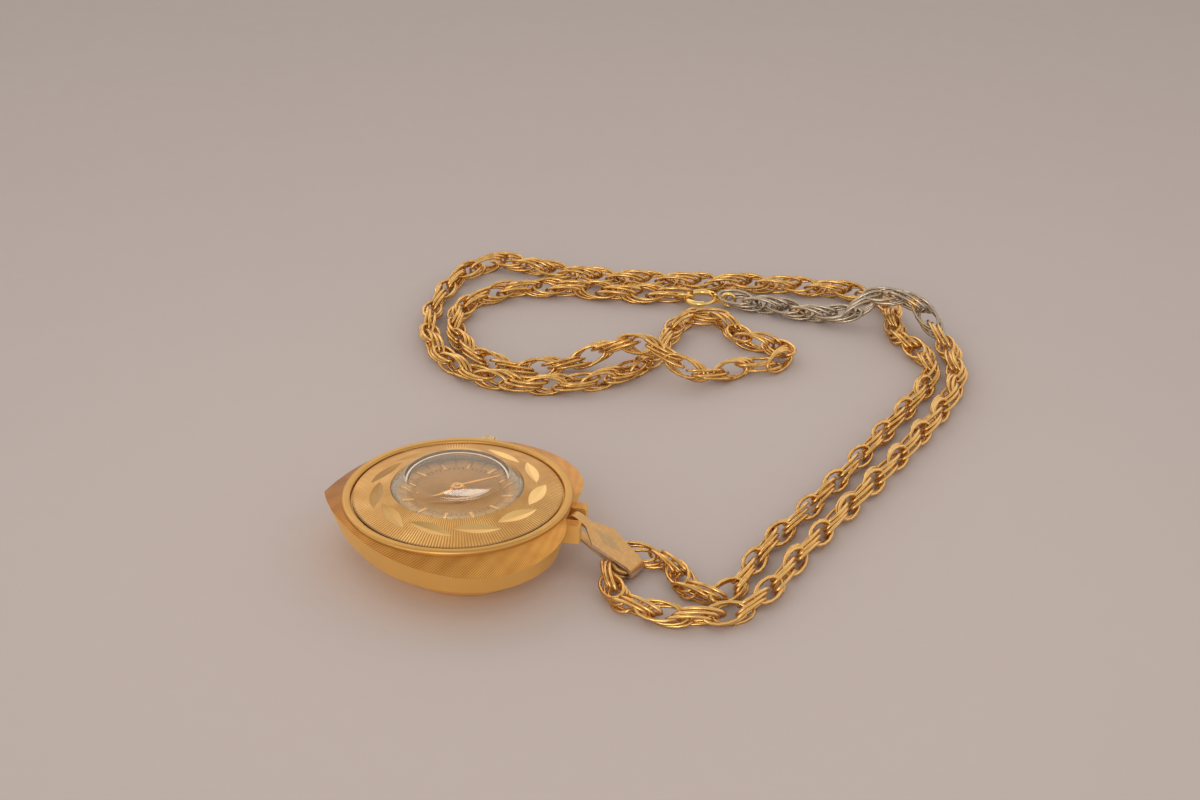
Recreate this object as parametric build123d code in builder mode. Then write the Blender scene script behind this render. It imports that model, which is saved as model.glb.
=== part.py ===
# Pendant watch on a fine chain: heart-shaped case lying on its back, dial up,
# point towards -Y, hanging loop and chain towards +Y, crown towards -X.
# Millimetres. The origin is on the hand axis, on the surface that the case back rests on.

import os
from math import asin, atan2, cos, degrees, hypot, pi, radians, sin, tan

from build123d import *

os.makedirs("parts", exist_ok=True)

# Shared fits
running_clearance = 0.03
easy_clearance = 0.1
cut_overrun = 1.0

# Heart outline of the case at its widest level
heart_half_width = 14.4
heart_point_reach = 14.7
heart_lobe_reach = 12.3
# each pair: share of the half width, share of the point reach (negative) or lobe reach
flank_middle_shares = (0.438, -0.755)
flank_end_shares = (0.771, -0.435)
widest_shares = (1.0, 0.195)
shoulder_shares = (0.806, 0.772)
lobe_top_shares = (0.42, 1.0)
cleft_shares = (0.0, 0.83)

# Case shell
case_low_z = 2.7
case_low_share = 0.92
case_high_z = 6.3
case_high_share = 1.015
case_bore_radius = 10.0
case_edge_round = 0.2
shell_slope_share = 0.42
bead_outer_radius = 12.05
bead_seat_z = 6.1
bead_height = 0.45
bead_width = 0.92
bead_round = 0.3

# Bezel skirt and brushed dish with its leaf cuts
skirt_low_z = 5.6
skirt_inner_radius = 10.4
skirt_outer_radius = 11.45
dish_outer_radius = 10.95
dish_edge_z = 6.35
dish_inner_radius = 6.95
dish_inner_z = 7.4
dish_thickness = 0.3
leaf_count = 11
leaf_first_angle = 2.3
leaf_center_radius = 8.75
leaf_cutter_radius = 24.0
leaf_depth = 0.17
leaf_width = 1.1
leaf_turn = -20.0

# Crystal
crystal_low_z = 6.72
crystal_base_z = 7.45
crystal_shoulder_radius = 5.35
crystal_shoulder_z = 8.35
crystal_top_z = 8.85
crystal_wall = 0.42

# Case back
back_low_share = 0.66
back_high_share = 0.905
back_floor = 0.6
back_hollow_radius = 7.8
back_spigot_height = 0.6
back_spigot_wall = 0.6

# Lug with its bar, and the hanging loop
lug_half_width = 2.4
lug_gap_half = 1.2
lug_low_z = 3.1
lug_high_z = 5.25
lug_root_y = 10.6
lug_end_y = 13.35
lug_round = 0.25
bar_y = 12.55
bar_z = 4.2
bar_radius = 0.42
bail_wall = 0.3
bail_top_radius = 1.06
bail_fold_radius = 1.0
bail_reach = 6.7
bail_swing_angle = 24.0
bail_leaf_width = 3.9
bail_leaf_tip_width = 1.1
bail_neck_length = 1.6
bail_leaf_end_width = 1.9
bail_leg_width = 1.1
bail_widest_share = 0.5

# Crown and stem
crown_radius = 1.25
crown_length = 1.35
crown_gap = 0.25
crown_ribs = 24
crown_rib_depth = 0.1
crown_knurl_share = 0.8
crown_taper = 30.0
crown_axis_z = 4.2
crown_seat_inset = 0.95
tube_outer_radius = 0.75
tube_length = 2.6
stem_radius = 0.4
stem_inner_x = 2.76
stem_groove_x = 6.0
stem_groove_width = 0.4
stem_groove_depth = 0.15
bearing_length = 0.5
pilot_x = -2.86
pilot_length = 0.24
setting_lever_length = 2.16
setting_lever_direction = -76.6
yoke_length = 2.5
yoke_direction = -105.8
lever_width = 0.5
lever_z = 5.56
lever_thickness = 0.16
lever_pin_radius = 0.14

# Movement: plates and levels
movement_radius = 7.6
holder_wall_radius = 9.9
holder_low_z = 3.45
plate_low_z = 4.7
plate_high_z = 5.5
plate_rim_inner_radius = 7.0
dial_low_z = 6.2
dial_thickness = 0.3
bridge_low_z = 1.95
bridge_high_z = 2.6
bridge_radius = 7.4
pillar_radius = 0.5
screw_head_radius = 0.42
screw_head_height = 0.22
screw_shank_radius = 0.25
screw_bite = 0.4
screw_slot = 0.12
jewel_radius = 0.36
jewel_thickness = 0.2
pivot_radius = 0.12
arbor_radius = 0.2

# Pillars of the bridges: shares of the movement radius across and along
pillar_shares = {
    "barrel": [(-0.697, 0.553), (0.342, 0.776), (0.711, 0.447)],
    "train": [(0.842, 0.013), (0.724, -0.553)],
    "cock": [(-0.697, -0.539)],
    "pallet": [(0.224, -0.868)],
}
bridge_split_y = 0.95

# Gear teeth, as shares of the module and of the tooth pitch
addendum_share = 0.85
dedendum_share = 1.15
tip_half_share = 0.09
root_half_share = 0.29

# Going train: teeth and modules
barrel_teeth = 60
center_leaves = 10
barrel_module = 0.1
center_teeth = 64
third_leaves = 8
center_module = 0.08
third_teeth = 60
fourth_leaves = 8
third_module = 0.07
fourth_teeth = 60
escape_leaves = 6
fourth_module = 0.06
escape_teeth = 15
escape_radius = 1.2
escape_root_radius = 0.85
tooth_lean_share = 0.55
tooth_back_share = 0.12
escape_rim_share = 0.75

# Directions, in degrees, from one arbor to the next one of the train
barrel_direction = 110.0
third_direction = -10.0
fourth_direction = -75.0
escape_direction = -125.0
pallet_direction = 190.0
balance_direction = 185.0
pallet_distance = 1.45
balance_distance = 2.1

# Levels of the train, low side and thickness
barrel_z = 2.95
barrel_height = 1.25
barrel_wall = 0.2
barrel_flange = 0.3
center_wheel_z = 4.35
third_wheel_z = 3.0
fourth_wheel_z = 3.9
escape_wheel_z = 3.4
wheel_thickness = 0.2
pinion_margin = 0.08
wheel_rim_width = 0.35
wheel_spoke_width = 0.3

# Escapement and balance
fork_z = 3.36
fork_thickness = 0.24
fork_half_width = 0.14
fork_reach = 1.3
fork_jaw = 0.25
pallet_spread = 36.0
balance_z = 2.65
balance_thickness = 0.25
balance_radius = 2.2
balance_rim_width = 0.28
balance_arm_width = 0.3
roller_z = 3.1
roller_radius = 0.5
roller_pin_radius = 0.07
spring_z = 2.3
spring_height = 0.12
spring_inner_radius = 0.35
spring_outer_radius = 1.3
spring_strip = 0.06
hairspring_turns = 4
cock_low_z = 1.45
cock_thickness = 0.55
mainspring_turns = 6
mainspring_strip = 0.1

# Winding work
ratchet_z = 2.66
ratchet_thickness = 0.24
ratchet_teeth = 47
crown_wheel_teeth = 30
ratchet_module = 0.1
crown_wheel_direction = 209.4
click_distance = 3.15
click_direction = 62.0
click_lean = 20.0
click_width = 0.8
click_nose_radius = 0.08
winding_pinion_teeth = 18
winding_pinion_module = 0.13
winding_pinion_length = 0.9
winding_pinion_x = 4.6
clutch_radius = 0.68
clutch_length = 0.7
clutch_x = 3.72
window_half_width = 1.45
window_inner_x = 3.0
window_outer_x = 7.0

# Motion work under the dial
cannon_leaves = 12
minute_teeth = 36
cannon_module = 0.075
minute_leaves = 10
hour_teeth = 40
hour_module = 0.072
motion_direction = 180.0
cannon_z = 5.56
cannon_height = 0.2
hour_wheel_z = 5.86
hour_wheel_height = 0.16
cannon_bore_radius = 0.2
cannon_tube_radius = 0.36
cannon_top_z = 7.15
hour_tube_radius = 0.56
hour_tube_top_z = 6.87

# Dial furniture
marker_inner_radius = 4.55
marker_length = 1.35
marker_width = 0.34
marker_height = 0.12
hour_hand_z = 6.75
hour_hand_length = 3.3
hour_hand_width = 0.42
minute_hand_z = 7.03
minute_hand_length = 4.9
minute_hand_width = 0.34
hand_thickness = 0.12
hand_tail = 0.9
hand_tip_width = 0.12
hand_widest_share = 0.45
hand_hub_wall = 0.25
hour_count = 12
minute_count = 60
hour_shown = 10.4
minute_shown = 24.0

# Clasp
clasp_x = -63.2
clasp_y = 16.4
clasp_z = 1.0
clasp_radius = 1.85
clasp_tube_radius = 0.38
clasp_bore_radius = 0.24
clasp_wire_radius = 0.2
clasp_gap_start = 20.0
clasp_gap_end = 80.0
clasp_travel = 40.0
clasp_overlap = 6.0
knob_radius = 0.3
knob_height = 0.75
eyelet_radius = 0.55
eyelet_wire_radius = 0.2
jump_ring_radius = 0.85
ring_wire_radius = 0.2
end_ring_radius = 1.15
end_ring_tilt = 50.0
end_ring_inset = 0.35

# Chain
chain_radius = 1.2
chain_z = 1.22
hump_z = 4.3
hump_side_z = 2.58
chain_link_length = 3.8
chain_link_width = 2.4
chain_wire_radius = 0.22
arc_run_share = 0.45


def place(start, distance, direction):
    """Point at a distance and a direction in degrees from a start point."""
    turn = radians(direction)
    return (start[0] + distance * cos(turn), start[1] + distance * sin(turn))


def save(part_builder, name):
    """Label a finished piece and write its file."""
    part_builder.part.label = name
    export_step(part_builder.part, "parts/" + name + ".step")


def disc(center, low_z, high_z, radius, mode=Mode.ADD):
    """Round post or hole between two levels."""
    with BuildSketch(Plane.XY.offset(low_z)) as round_face:
        with Locations(center):
            Circle(radius)
    extrude(round_face.sketch, amount=high_z - low_z, mode=mode)


def round_loft(low_z, low_radius, high_z, high_radius, mode=Mode.ADD):
    """Tapered round block or hollow on the hand axis."""
    with BuildSketch(Plane.XY.offset(low_z)) as low_face:
        Circle(low_radius)
    with BuildSketch(Plane.XY.offset(high_z)) as high_face:
        Circle(high_radius)
    loft(sections=[low_face.sketch, high_face.sketch], mode=mode)


def heart_point(shares, size_share):
    """Point of the heart outline from its shares."""
    across, along = shares
    reach = heart_lobe_reach if along > 0 else heart_point_reach
    return (across * heart_half_width * size_share, along * reach * size_share)


def heart_face(height, size_share):
    """Heart-shaped face at one level, from tangent arcs."""
    point = (0, -heart_point_reach * size_share)
    flank_end = heart_point(flank_end_shares, size_share)
    widest = heart_point(widest_shares, size_share)
    shoulder = heart_point(shoulder_shares, size_share)
    lobe_top = heart_point(lobe_top_shares, size_share)
    cleft = heart_point(cleft_shares, size_share)
    with BuildSketch(Plane.XY.offset(height)) as heart:
        with BuildLine():
            flank = ThreePointArc(point, heart_point(flank_middle_shares, size_share), flank_end)
            side = TangentArc(flank_end, widest, tangent=flank % 1)
            lobe = TangentArc(widest, shoulder, tangent=side % 1)
            top = TangentArc(shoulder, lobe_top, tangent=lobe % 1)
            TangentArc(lobe_top, cleft, tangent=top % 1)
            mirror(about=Plane.YZ)
        make_face()
    return heart.sketch


def tooth_points(teeth, module, first_angle):
    """Outline of a toothed disc with one tooth centred on first_angle."""
    pitch_radius = teeth * module / 2
    tip_radius = pitch_radius + addendum_share * module
    root_radius = pitch_radius - dedendum_share * module
    pitch_angle = 360 / teeth
    points = []
    for tooth in range(teeth):
        middle = first_angle + tooth * pitch_angle
        points.append(place((0, 0), root_radius, middle - root_half_share * pitch_angle))
        points.append(place((0, 0), tip_radius, middle - tip_half_share * pitch_angle))
        points.append(place((0, 0), tip_radius, middle + tip_half_share * pitch_angle))
        points.append(place((0, 0), root_radius, middle + root_half_share * pitch_angle))
    return points


def meshing_angle(direction, driver_teeth, driver_angle, driven_teeth):
    """First tooth angle that puts a gap of the driven gear on a tooth of the driver."""
    driver_phase = (direction - driver_angle) / (360 / driver_teeth) % 1
    return direction + 180 + (driver_phase + 0.5) * 360 / driven_teeth


def gear(center, low_z, thickness, teeth, module, first_angle):
    """Add a toothed disc to the part that is being built."""
    with BuildSketch(Plane.XY.offset(low_z)) as gear_face:
        with Locations(center):
            Polygon(*tooth_points(teeth, module, first_angle), align=None)
    extrude(gear_face.sketch, amount=thickness)


def spokes(center, low_z, thickness, outer_radius, hub_radius, count, first_angle):
    """Cut the windows between the spokes of a wheel."""
    half_turn = 180 / count
    with BuildSketch(Plane.XY.offset(low_z)) as window_face:
        with Locations(center):
            Circle(outer_radius)
            Circle(hub_radius, mode=Mode.SUBTRACT)
        for spoke in range(count):
            angle = first_angle + spoke * 2 * half_turn
            with Locations(place(center, outer_radius / 2, angle)):
                Rectangle(outer_radius, wheel_spoke_width, rotation=angle, mode=Mode.SUBTRACT)
    extrude(window_face.sketch, amount=thickness, mode=Mode.SUBTRACT)


def spiral_points(inner_radius, outer_radius, turns, strip, steps_per_turn=24):
    """Outline of a flat spiral strip, out along one side and back along the other."""
    steps = turns * steps_per_turn
    outward = []
    inward = []
    for step in range(steps + 1):
        radius = inner_radius + (outer_radius - inner_radius) * step / steps
        angle = 360 * step / steps_per_turn
        outward.append(place((0, 0), radius + strip / 2, angle))
        inward.append(place((0, 0), radius - strip / 2, angle))
    return outward + inward[::-1]


# Places of the arbors
center_place = (0, 0)
barrel_distance = (barrel_teeth + center_leaves) * barrel_module / 2
barrel_place = place(center_place, barrel_distance, barrel_direction)
third_distance = (center_teeth + third_leaves) * center_module / 2
third_place = place(center_place, third_distance, third_direction)
fourth_distance = (third_teeth + fourth_leaves) * third_module / 2
fourth_place = place(third_place, fourth_distance, fourth_direction)
escape_distance = (fourth_teeth + escape_leaves) * fourth_module / 2
escape_place = place(fourth_place, escape_distance, escape_direction)
pallet_place = place(escape_place, pallet_distance, pallet_direction)
balance_place = place(pallet_place, balance_distance, balance_direction)
crown_wheel_distance = (ratchet_teeth + crown_wheel_teeth) * ratchet_module / 2
crown_wheel_place = place(barrel_place, crown_wheel_distance, crown_wheel_direction)
minute_distance = (cannon_leaves + minute_teeth) * cannon_module / 2
minute_place = place(center_place, minute_distance, motion_direction)
click_place = place(barrel_place, click_distance, click_direction)
lever_place = place((-stem_groove_x, 0), setting_lever_length, setting_lever_direction)
yoke_place = place((-clutch_x, 0), yoke_length, yoke_direction)

# Levels and radii that several pieces share
shell_edge_z = bead_seat_z
bail_sweep_radius = bail_top_radius + easy_clearance + bail_leaf_tip_width / 2 * sin(radians(bail_swing_angle))
bead_inner_radius = bead_outer_radius - bead_width
dish_slope = (dish_inner_z - dish_edge_z) / (dish_outer_radius - dish_inner_radius)
dish_low_z = dish_edge_z - dish_thickness
crystal_radius = dish_inner_radius - running_clearance / 2
spigot_radius = case_bore_radius - running_clearance
dial_top_z = dial_low_z + dial_thickness
shell_apex_z = shell_edge_z + shell_slope_share * bead_outer_radius
crown_seat_x = heart_half_width - crown_seat_inset
crown_inner_x = crown_seat_x + crown_gap


# Case shell: tapered heart, shallow cone on top, round bore, lug ears
with BuildPart() as case_body:
    loft(sections=[heart_face(case_low_z, case_low_share), heart_face(case_high_z, case_high_share)])
    fillet(case_body.faces().sort_by(Axis.Z)[0].edges(), radius=case_edge_round)
    round_loft(case_low_z, bead_outer_radius * case_low_share, shell_edge_z, bead_outer_radius)
    ear_middle = (lug_half_width + lug_gap_half) / 2
    ear_width = lug_half_width - lug_gap_half
    for side in (-1, 1):
        with BuildSketch(Plane.YZ.offset(side * ear_middle)) as ear_face:
            with BuildLine():
                Polyline(
                    (lug_root_y, lug_low_z),
                    (lug_end_y, lug_low_z),
                    (lug_end_y, lug_high_z),
                    (lug_root_y, lug_high_z),
                    close=True,
                )
            make_face()
            ear_corners = ear_face.vertices().group_by(Axis.Y)[-1]
            fillet(ear_corners, radius=lug_round)
        extrude(amount=ear_width / 2, both=True)
    with BuildSketch(Plane.XZ) as above_shell:
        with BuildLine():
            Polyline(
                (0, shell_apex_z),
                (bead_outer_radius, shell_edge_z),
                (2 * bead_outer_radius, shell_edge_z - shell_slope_share * bead_outer_radius),
                (2 * bead_outer_radius, shell_apex_z + cut_overrun),
                (0, shell_apex_z + cut_overrun),
                close=True,
            )
        make_face()
    revolve(axis=Axis.Z, mode=Mode.SUBTRACT)
    disc(center_place, shell_edge_z, shell_apex_z, bead_outer_radius, Mode.SUBTRACT)
    disc(center_place, case_low_z - cut_overrun, shell_apex_z, case_bore_radius, Mode.SUBTRACT)
    disc(center_place, skirt_low_z, shell_apex_z, skirt_outer_radius, Mode.SUBTRACT)
    with BuildSketch(Plane.YZ.offset(-crown_seat_x)) as crown_seat:
        with Locations((0, crown_axis_z)):
            Circle(crown_radius + easy_clearance)
    extrude(amount=-crown_length, mode=Mode.SUBTRACT)
    with BuildSketch(Plane.YZ.offset(-case_bore_radius + tube_length)) as tube_hole:
        with Locations((0, crown_axis_z)):
            Circle(tube_outer_radius)
    extrude(amount=-case_bore_radius, mode=Mode.SUBTRACT)
    with BuildSketch(Plane.YZ) as bar_hole:
        with Locations((bar_y, bar_z)):
            Circle(bar_radius)
    extrude(amount=lug_half_width, both=True, mode=Mode.SUBTRACT)
    with BuildSketch(Plane.YZ) as bail_room:
        with Locations((bar_y, bar_z)):
            Circle(bail_sweep_radius)
    extrude(amount=lug_gap_half, both=True, mode=Mode.SUBTRACT)
save(case_body, "case_body")

with BuildPart() as lug_bar:
    with BuildSketch(Plane.YZ) as bar_face:
        with Locations((bar_y, bar_z)):
            Circle(bar_radius)
    extrude(amount=lug_half_width, both=True)
save(lug_bar, "lug_bar")

with BuildPart() as case_back:
    loft(sections=[heart_face(0, back_low_share), heart_face(case_low_z, back_high_share)])
    fillet(case_back.faces().sort_by(Axis.Z)[0].edges(), radius=case_edge_round)
    round_loft(0, bead_outer_radius * back_low_share, case_low_z, bead_outer_radius * back_high_share)
    round_loft(
        back_floor,
        back_hollow_radius,
        case_low_z,
        spigot_radius - back_spigot_wall,
        Mode.SUBTRACT,
    )
    disc(center_place, case_low_z, case_low_z + back_spigot_height, spigot_radius)
    disc(
        center_place,
        case_low_z,
        case_low_z + back_spigot_height,
        spigot_radius - back_spigot_wall,
        Mode.SUBTRACT,
    )
save(case_back, "case_back")


# Bezel: rounded bead on a stepped skirt
with BuildPart() as bezel_ring:
    with BuildSketch(Plane.XZ) as bezel_profile:
        with BuildLine():
            Polyline(
                (skirt_inner_radius, skirt_low_z),
                (skirt_outer_radius, skirt_low_z),
                (skirt_outer_radius, bead_seat_z),
                (bead_outer_radius, bead_seat_z),
                (bead_outer_radius, bead_seat_z + bead_height),
                (bead_inner_radius, bead_seat_z + bead_height),
                (bead_inner_radius, dish_low_z),
                (dish_outer_radius, dish_low_z),
                (skirt_inner_radius, dish_low_z + dish_slope * (dish_outer_radius - skirt_inner_radius)),
                close=True,
            )
        make_face()
        bead_corners = bezel_profile.vertices().group_by(Axis.Y)[-1]
        fillet(bead_corners, radius=bead_round)
    revolve(axis=Axis.Z)
save(bezel_ring, "bezel_ring")


def leaf_cutter(angle):
    """Wide V-edged disc that sinks a pointed leaf into the dish."""
    level = dish_edge_z + dish_slope * (dish_outer_radius - leaf_center_radius)
    center_x, center_y = place(center_place, leaf_center_radius, angle)
    tilt = degrees(atan2(dish_slope, 1))
    surface = Plane(
        origin=(center_x, center_y, level),
        x_dir=(-sin(radians(angle)), cos(radians(angle)), 0),
        z_dir=(
            cos(radians(angle)) * sin(radians(tilt)),
            sin(radians(angle)) * sin(radians(tilt)),
            cos(radians(tilt)),
        ),
    ).rotated((0, 0, leaf_turn))
    axle = surface.offset(leaf_cutter_radius - leaf_depth)
    profile_plane = Plane(origin=axle.origin, x_dir=axle.y_dir, z_dir=axle.x_dir)
    with BuildPart() as cutter:
        with BuildSketch(profile_plane):
            with BuildLine():
                Polyline(
                    (0, -leaf_cutter_radius),
                    (leaf_width / 2, leaf_depth - leaf_cutter_radius),
                    (leaf_width, 2 * leaf_depth - leaf_cutter_radius),
                    (leaf_width, 0),
                    (-leaf_width, 0),
                    (-leaf_width, 2 * leaf_depth - leaf_cutter_radius),
                    (-leaf_width / 2, leaf_depth - leaf_cutter_radius),
                    close=True,
                )
            make_face()
        revolve(axis=Axis(axle.origin, axle.y_dir))
    return cutter.part


with BuildPart() as bezel_dish:
    with BuildSketch(Plane.XZ) as dish_profile:
        with BuildLine():
            Polyline(
                (dish_inner_radius, dish_inner_z),
                (dish_outer_radius, dish_edge_z),
                (dish_outer_radius, dish_low_z),
                (dish_inner_radius, dish_inner_z - dish_thickness),
                close=True,
            )
        make_face()
    revolve(axis=Axis.Z)
    for leaf in range(leaf_count):
        add(leaf_cutter(leaf_first_angle + leaf * 360 / leaf_count), mode=Mode.SUBTRACT)
save(bezel_dish, "bezel_dish")


# Crystal: straight rim, sloping shoulder, low dome
def dome_points(edge_radius, edge_z, top_z):
    """Middle and top points of a shallow round dome centred on the hand axis."""
    rise = top_z - edge_z
    sphere_radius = (edge_radius**2 + rise**2) / (2 * rise)
    half_angle = asin(edge_radius / sphere_radius) / 2
    middle = (sphere_radius * sin(half_angle), top_z - sphere_radius * (1 - cos(half_angle)))
    return middle, (0, top_z)


with BuildPart() as crystal:
    shoulder_inner_radius = crystal_shoulder_radius - crystal_wall / 2
    shoulder_inner_z = crystal_shoulder_z - crystal_wall
    rim_inner_radius = crystal_radius - crystal_wall
    rim_inner_z = crystal_base_z - crystal_wall / 2
    outer_middle, outer_top = dome_points(crystal_shoulder_radius, crystal_shoulder_z, crystal_top_z)
    inner_middle, inner_top = dome_points(
        shoulder_inner_radius, shoulder_inner_z, crystal_top_z - crystal_wall
    )
    with BuildSketch(Plane.XZ) as crystal_profile:
        with BuildLine():
            Line(inner_top, outer_top)
            ThreePointArc(outer_top, outer_middle, (crystal_shoulder_radius, crystal_shoulder_z))
            Polyline(
                (crystal_shoulder_radius, crystal_shoulder_z),
                (crystal_radius, crystal_base_z),
                (crystal_radius, crystal_low_z),
                (rim_inner_radius, crystal_low_z),
                (rim_inner_radius, rim_inner_z),
                (shoulder_inner_radius, shoulder_inner_z),
            )
            ThreePointArc((shoulder_inner_radius, shoulder_inner_z), inner_middle, inner_top)
        make_face()
    revolve(axis=Axis.Z)
save(crystal, "crystal")


# Dial with its applied markers
with BuildPart() as dial:
    disc(center_place, dial_low_z, dial_top_z, movement_radius - running_clearance)
    disc(center_place, dial_low_z, dial_top_z, hour_tube_radius + easy_clearance, Mode.SUBTRACT)
save(dial, "dial")

with BuildPart() as hour_markers:
    marker_middle = marker_inner_radius + marker_length / 2
    with BuildSketch(Plane.XY.offset(dial_top_z)):
        with PolarLocations(marker_middle, hour_count):
            Rectangle(marker_length, marker_width)
    extrude(amount=marker_height)
    chamfer(hour_markers.faces().group_by(Axis.Z)[-1].edges(), length=marker_height / 3)
save(hour_markers, "hour_markers")


def hand(low_z, length, width, hub_radius, bore_radius, direction):
    """Leaf-shaped hand with a round hub and a short tail."""
    tip = place(center_place, length, direction)
    tail = place(center_place, hand_tail, direction + 180)
    waist = place(center_place, length * hand_widest_share, direction)
    with BuildPart() as hand_part:
        with BuildSketch(Plane.XY.offset(low_z)):
            with BuildLine():
                Polyline(
                    place(tail, hand_tip_width / 2, direction - 90),
                    place(waist, width / 2, direction - 90),
                    place(tip, hand_tip_width / 2, direction - 90),
                    place(tip, hand_tip_width / 2, direction + 90),
                    place(waist, width / 2, direction + 90),
                    place(tail, hand_tip_width / 2, direction + 90),
                    close=True,
                )
            make_face()
            Circle(hub_radius)
            Circle(bore_radius, mode=Mode.SUBTRACT)
        extrude(amount=hand_thickness)
    return hand_part


hour_direction = -90 - hour_shown * 360 / hour_count
minute_direction = -90 - minute_shown * 360 / minute_count
hour_hand = hand(
    hour_hand_z,
    hour_hand_length,
    hour_hand_width,
    hour_tube_radius + hand_hub_wall,
    hour_tube_radius,
    hour_direction,
)
save(hour_hand, "hour_hand")
minute_hand = hand(
    minute_hand_z,
    minute_hand_length,
    minute_hand_width,
    cannon_tube_radius + hand_hub_wall,
    cannon_tube_radius,
    minute_direction,
)
save(minute_hand, "minute_hand")


# Movement holder, main plate and bridges
with BuildPart() as movement_holder:
    disc(center_place, holder_low_z, plate_high_z, holder_wall_radius)
    disc(center_place, holder_low_z, plate_high_z, movement_radius + running_clearance, Mode.SUBTRACT)
    with BuildSketch(Plane.YZ) as stem_way:
        with Locations((0, crown_axis_z)):
            Circle(tube_outer_radius + running_clearance)
    extrude(amount=-case_bore_radius, mode=Mode.SUBTRACT)
save(movement_holder, "movement_holder")

pillar_places = {
    group: [(across * movement_radius, along * movement_radius) for across, along in shares]
    for group, shares in pillar_shares.items()
}
jeweled_places = [third_place, fourth_place, escape_place]
all_pillars = [spot for group in pillar_places.values() for spot in group]

with BuildPart() as main_plate:
    disc(center_place, plate_low_z, dial_low_z, movement_radius)
    disc(center_place, plate_high_z, dial_low_z, plate_rim_inner_radius, Mode.SUBTRACT)
    disc(center_place, plate_low_z, plate_high_z, arbor_radius + running_clearance, Mode.SUBTRACT)
    for spot in jeweled_places + [pallet_place, balance_place]:
        disc(spot, plate_low_z, plate_high_z, jewel_radius, Mode.SUBTRACT)
    disc(barrel_place, plate_low_z, plate_high_z, arbor_radius + running_clearance, Mode.SUBTRACT)
    with BuildSketch(Plane.XY.offset(plate_low_z)):
        with Locations(((-window_inner_x - window_outer_x) / 2, 0)):
            Rectangle(window_outer_x - window_inner_x, 2 * window_half_width)
    extrude(amount=plate_high_z - plate_low_z, mode=Mode.SUBTRACT)
    for spot in all_pillars:
        disc(spot, plate_low_z - screw_shank_radius, plate_high_z, screw_shank_radius, Mode.SUBTRACT)
    bearing_x = -window_outer_x - bearing_length / 2
    for block_x, block_length in ((bearing_x, bearing_length), (pilot_x, pilot_length)):
        with BuildSketch(Plane.XY.offset(crown_axis_z - tube_outer_radius)):
            with Locations((block_x, 0)):
                Rectangle(block_length, 2 * tube_outer_radius)
        extrude(amount=plate_low_z - crown_axis_z + tube_outer_radius)
    with BuildSketch(Plane.YZ) as stem_bore:
        with Locations((0, crown_axis_z)):
            Circle(stem_radius + running_clearance)
    extrude(amount=-case_bore_radius, mode=Mode.SUBTRACT)
    for spot in (lever_place, yoke_place, minute_place):
        disc(spot, plate_high_z, hour_wheel_z + hour_wheel_height, pivot_radius)
save(main_plate, "main_plate")


def bridge(low_z, high_z, outline, spots, bore_spots, bore_radius):
    """Plate of a given outline with pillars up to the main plate and its bores."""
    with BuildPart() as bridge_part:
        extrude(outline, amount=high_z - low_z)
        for spot in spots:
            disc(spot, low_z, plate_low_z, pillar_radius)
            disc(spot, low_z, plate_low_z, screw_shank_radius, Mode.SUBTRACT)
        for spot in bore_spots:
            disc(spot, low_z, high_z, bore_radius, Mode.SUBTRACT)
    return bridge_part


with BuildSketch(Plane.XY.offset(bridge_low_z)) as barrel_outline:
    Circle(bridge_radius)
    with Locations((0, bridge_split_y - bridge_radius)):
        Rectangle(2 * bridge_radius, 2 * bridge_radius, mode=Mode.SUBTRACT)
barrel_bridge = bridge(
    bridge_low_z,
    bridge_high_z,
    barrel_outline.sketch,
    pillar_places["barrel"],
    [barrel_place],
    arbor_radius + running_clearance,
)
with barrel_bridge:
    disc(crown_wheel_place, bridge_high_z, ratchet_z + ratchet_thickness, 2 * arbor_radius)
    disc(click_place, bridge_high_z, ratchet_z + ratchet_thickness, arbor_radius)
save(barrel_bridge, "barrel_bridge")

with BuildSketch(Plane.XY.offset(bridge_low_z)) as train_outline:
    with Locations(center_place, escape_place, *pillar_places["train"]):
        Circle(1.4 * pillar_radius)
    make_hull()
train_bridge = bridge(
    bridge_low_z,
    bridge_high_z,
    train_outline.sketch,
    pillar_places["train"],
    jeweled_places,
    jewel_radius,
)
with train_bridge:
    disc(center_place, bridge_low_z, bridge_high_z, arbor_radius + running_clearance, Mode.SUBTRACT)
save(train_bridge, "train_bridge")

with BuildSketch(Plane.XY.offset(cock_low_z)) as cock_outline:
    with Locations(balance_place, pillar_places["cock"][0]):
        Circle(1.6 * pillar_radius)
    make_hull()
balance_cock = bridge(
    cock_low_z,
    cock_low_z + cock_thickness,
    cock_outline.sketch,
    pillar_places["cock"],
    [balance_place],
    jewel_radius,
)
save(balance_cock, "balance_cock")

pallet_bridge_z = balance_z + balance_thickness + easy_clearance
with BuildSketch(Plane.XY.offset(pallet_bridge_z)) as pallet_outline:
    with Locations(pallet_place, pillar_places["pallet"][0]):
        Circle(pillar_radius)
    make_hull()
pallet_bridge = bridge(
    pallet_bridge_z,
    fork_z - easy_clearance,
    pallet_outline.sketch,
    pillar_places["pallet"],
    [pallet_place],
    pivot_radius + running_clearance,
)
save(pallet_bridge, "pallet_bridge")

with BuildPart() as bridge_screws:
    screw_seats = {
        "barrel": bridge_low_z,
        "train": bridge_low_z,
        "cock": cock_low_z,
        "pallet": pallet_bridge_z,
    }
    for group, seat_z in screw_seats.items():
        for spot in pillar_places[group]:
            disc(spot, seat_z - screw_head_height, seat_z, screw_head_radius)
            disc(spot, seat_z, plate_low_z + screw_bite, screw_shank_radius - running_clearance)
            with BuildSketch(Plane.XY.offset(seat_z - screw_head_height)):
                with Locations(spot):
                    Rectangle(2 * screw_head_radius, screw_slot)
            extrude(amount=screw_head_height / 2, mode=Mode.SUBTRACT)
save(bridge_screws, "bridge_screws")

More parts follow.
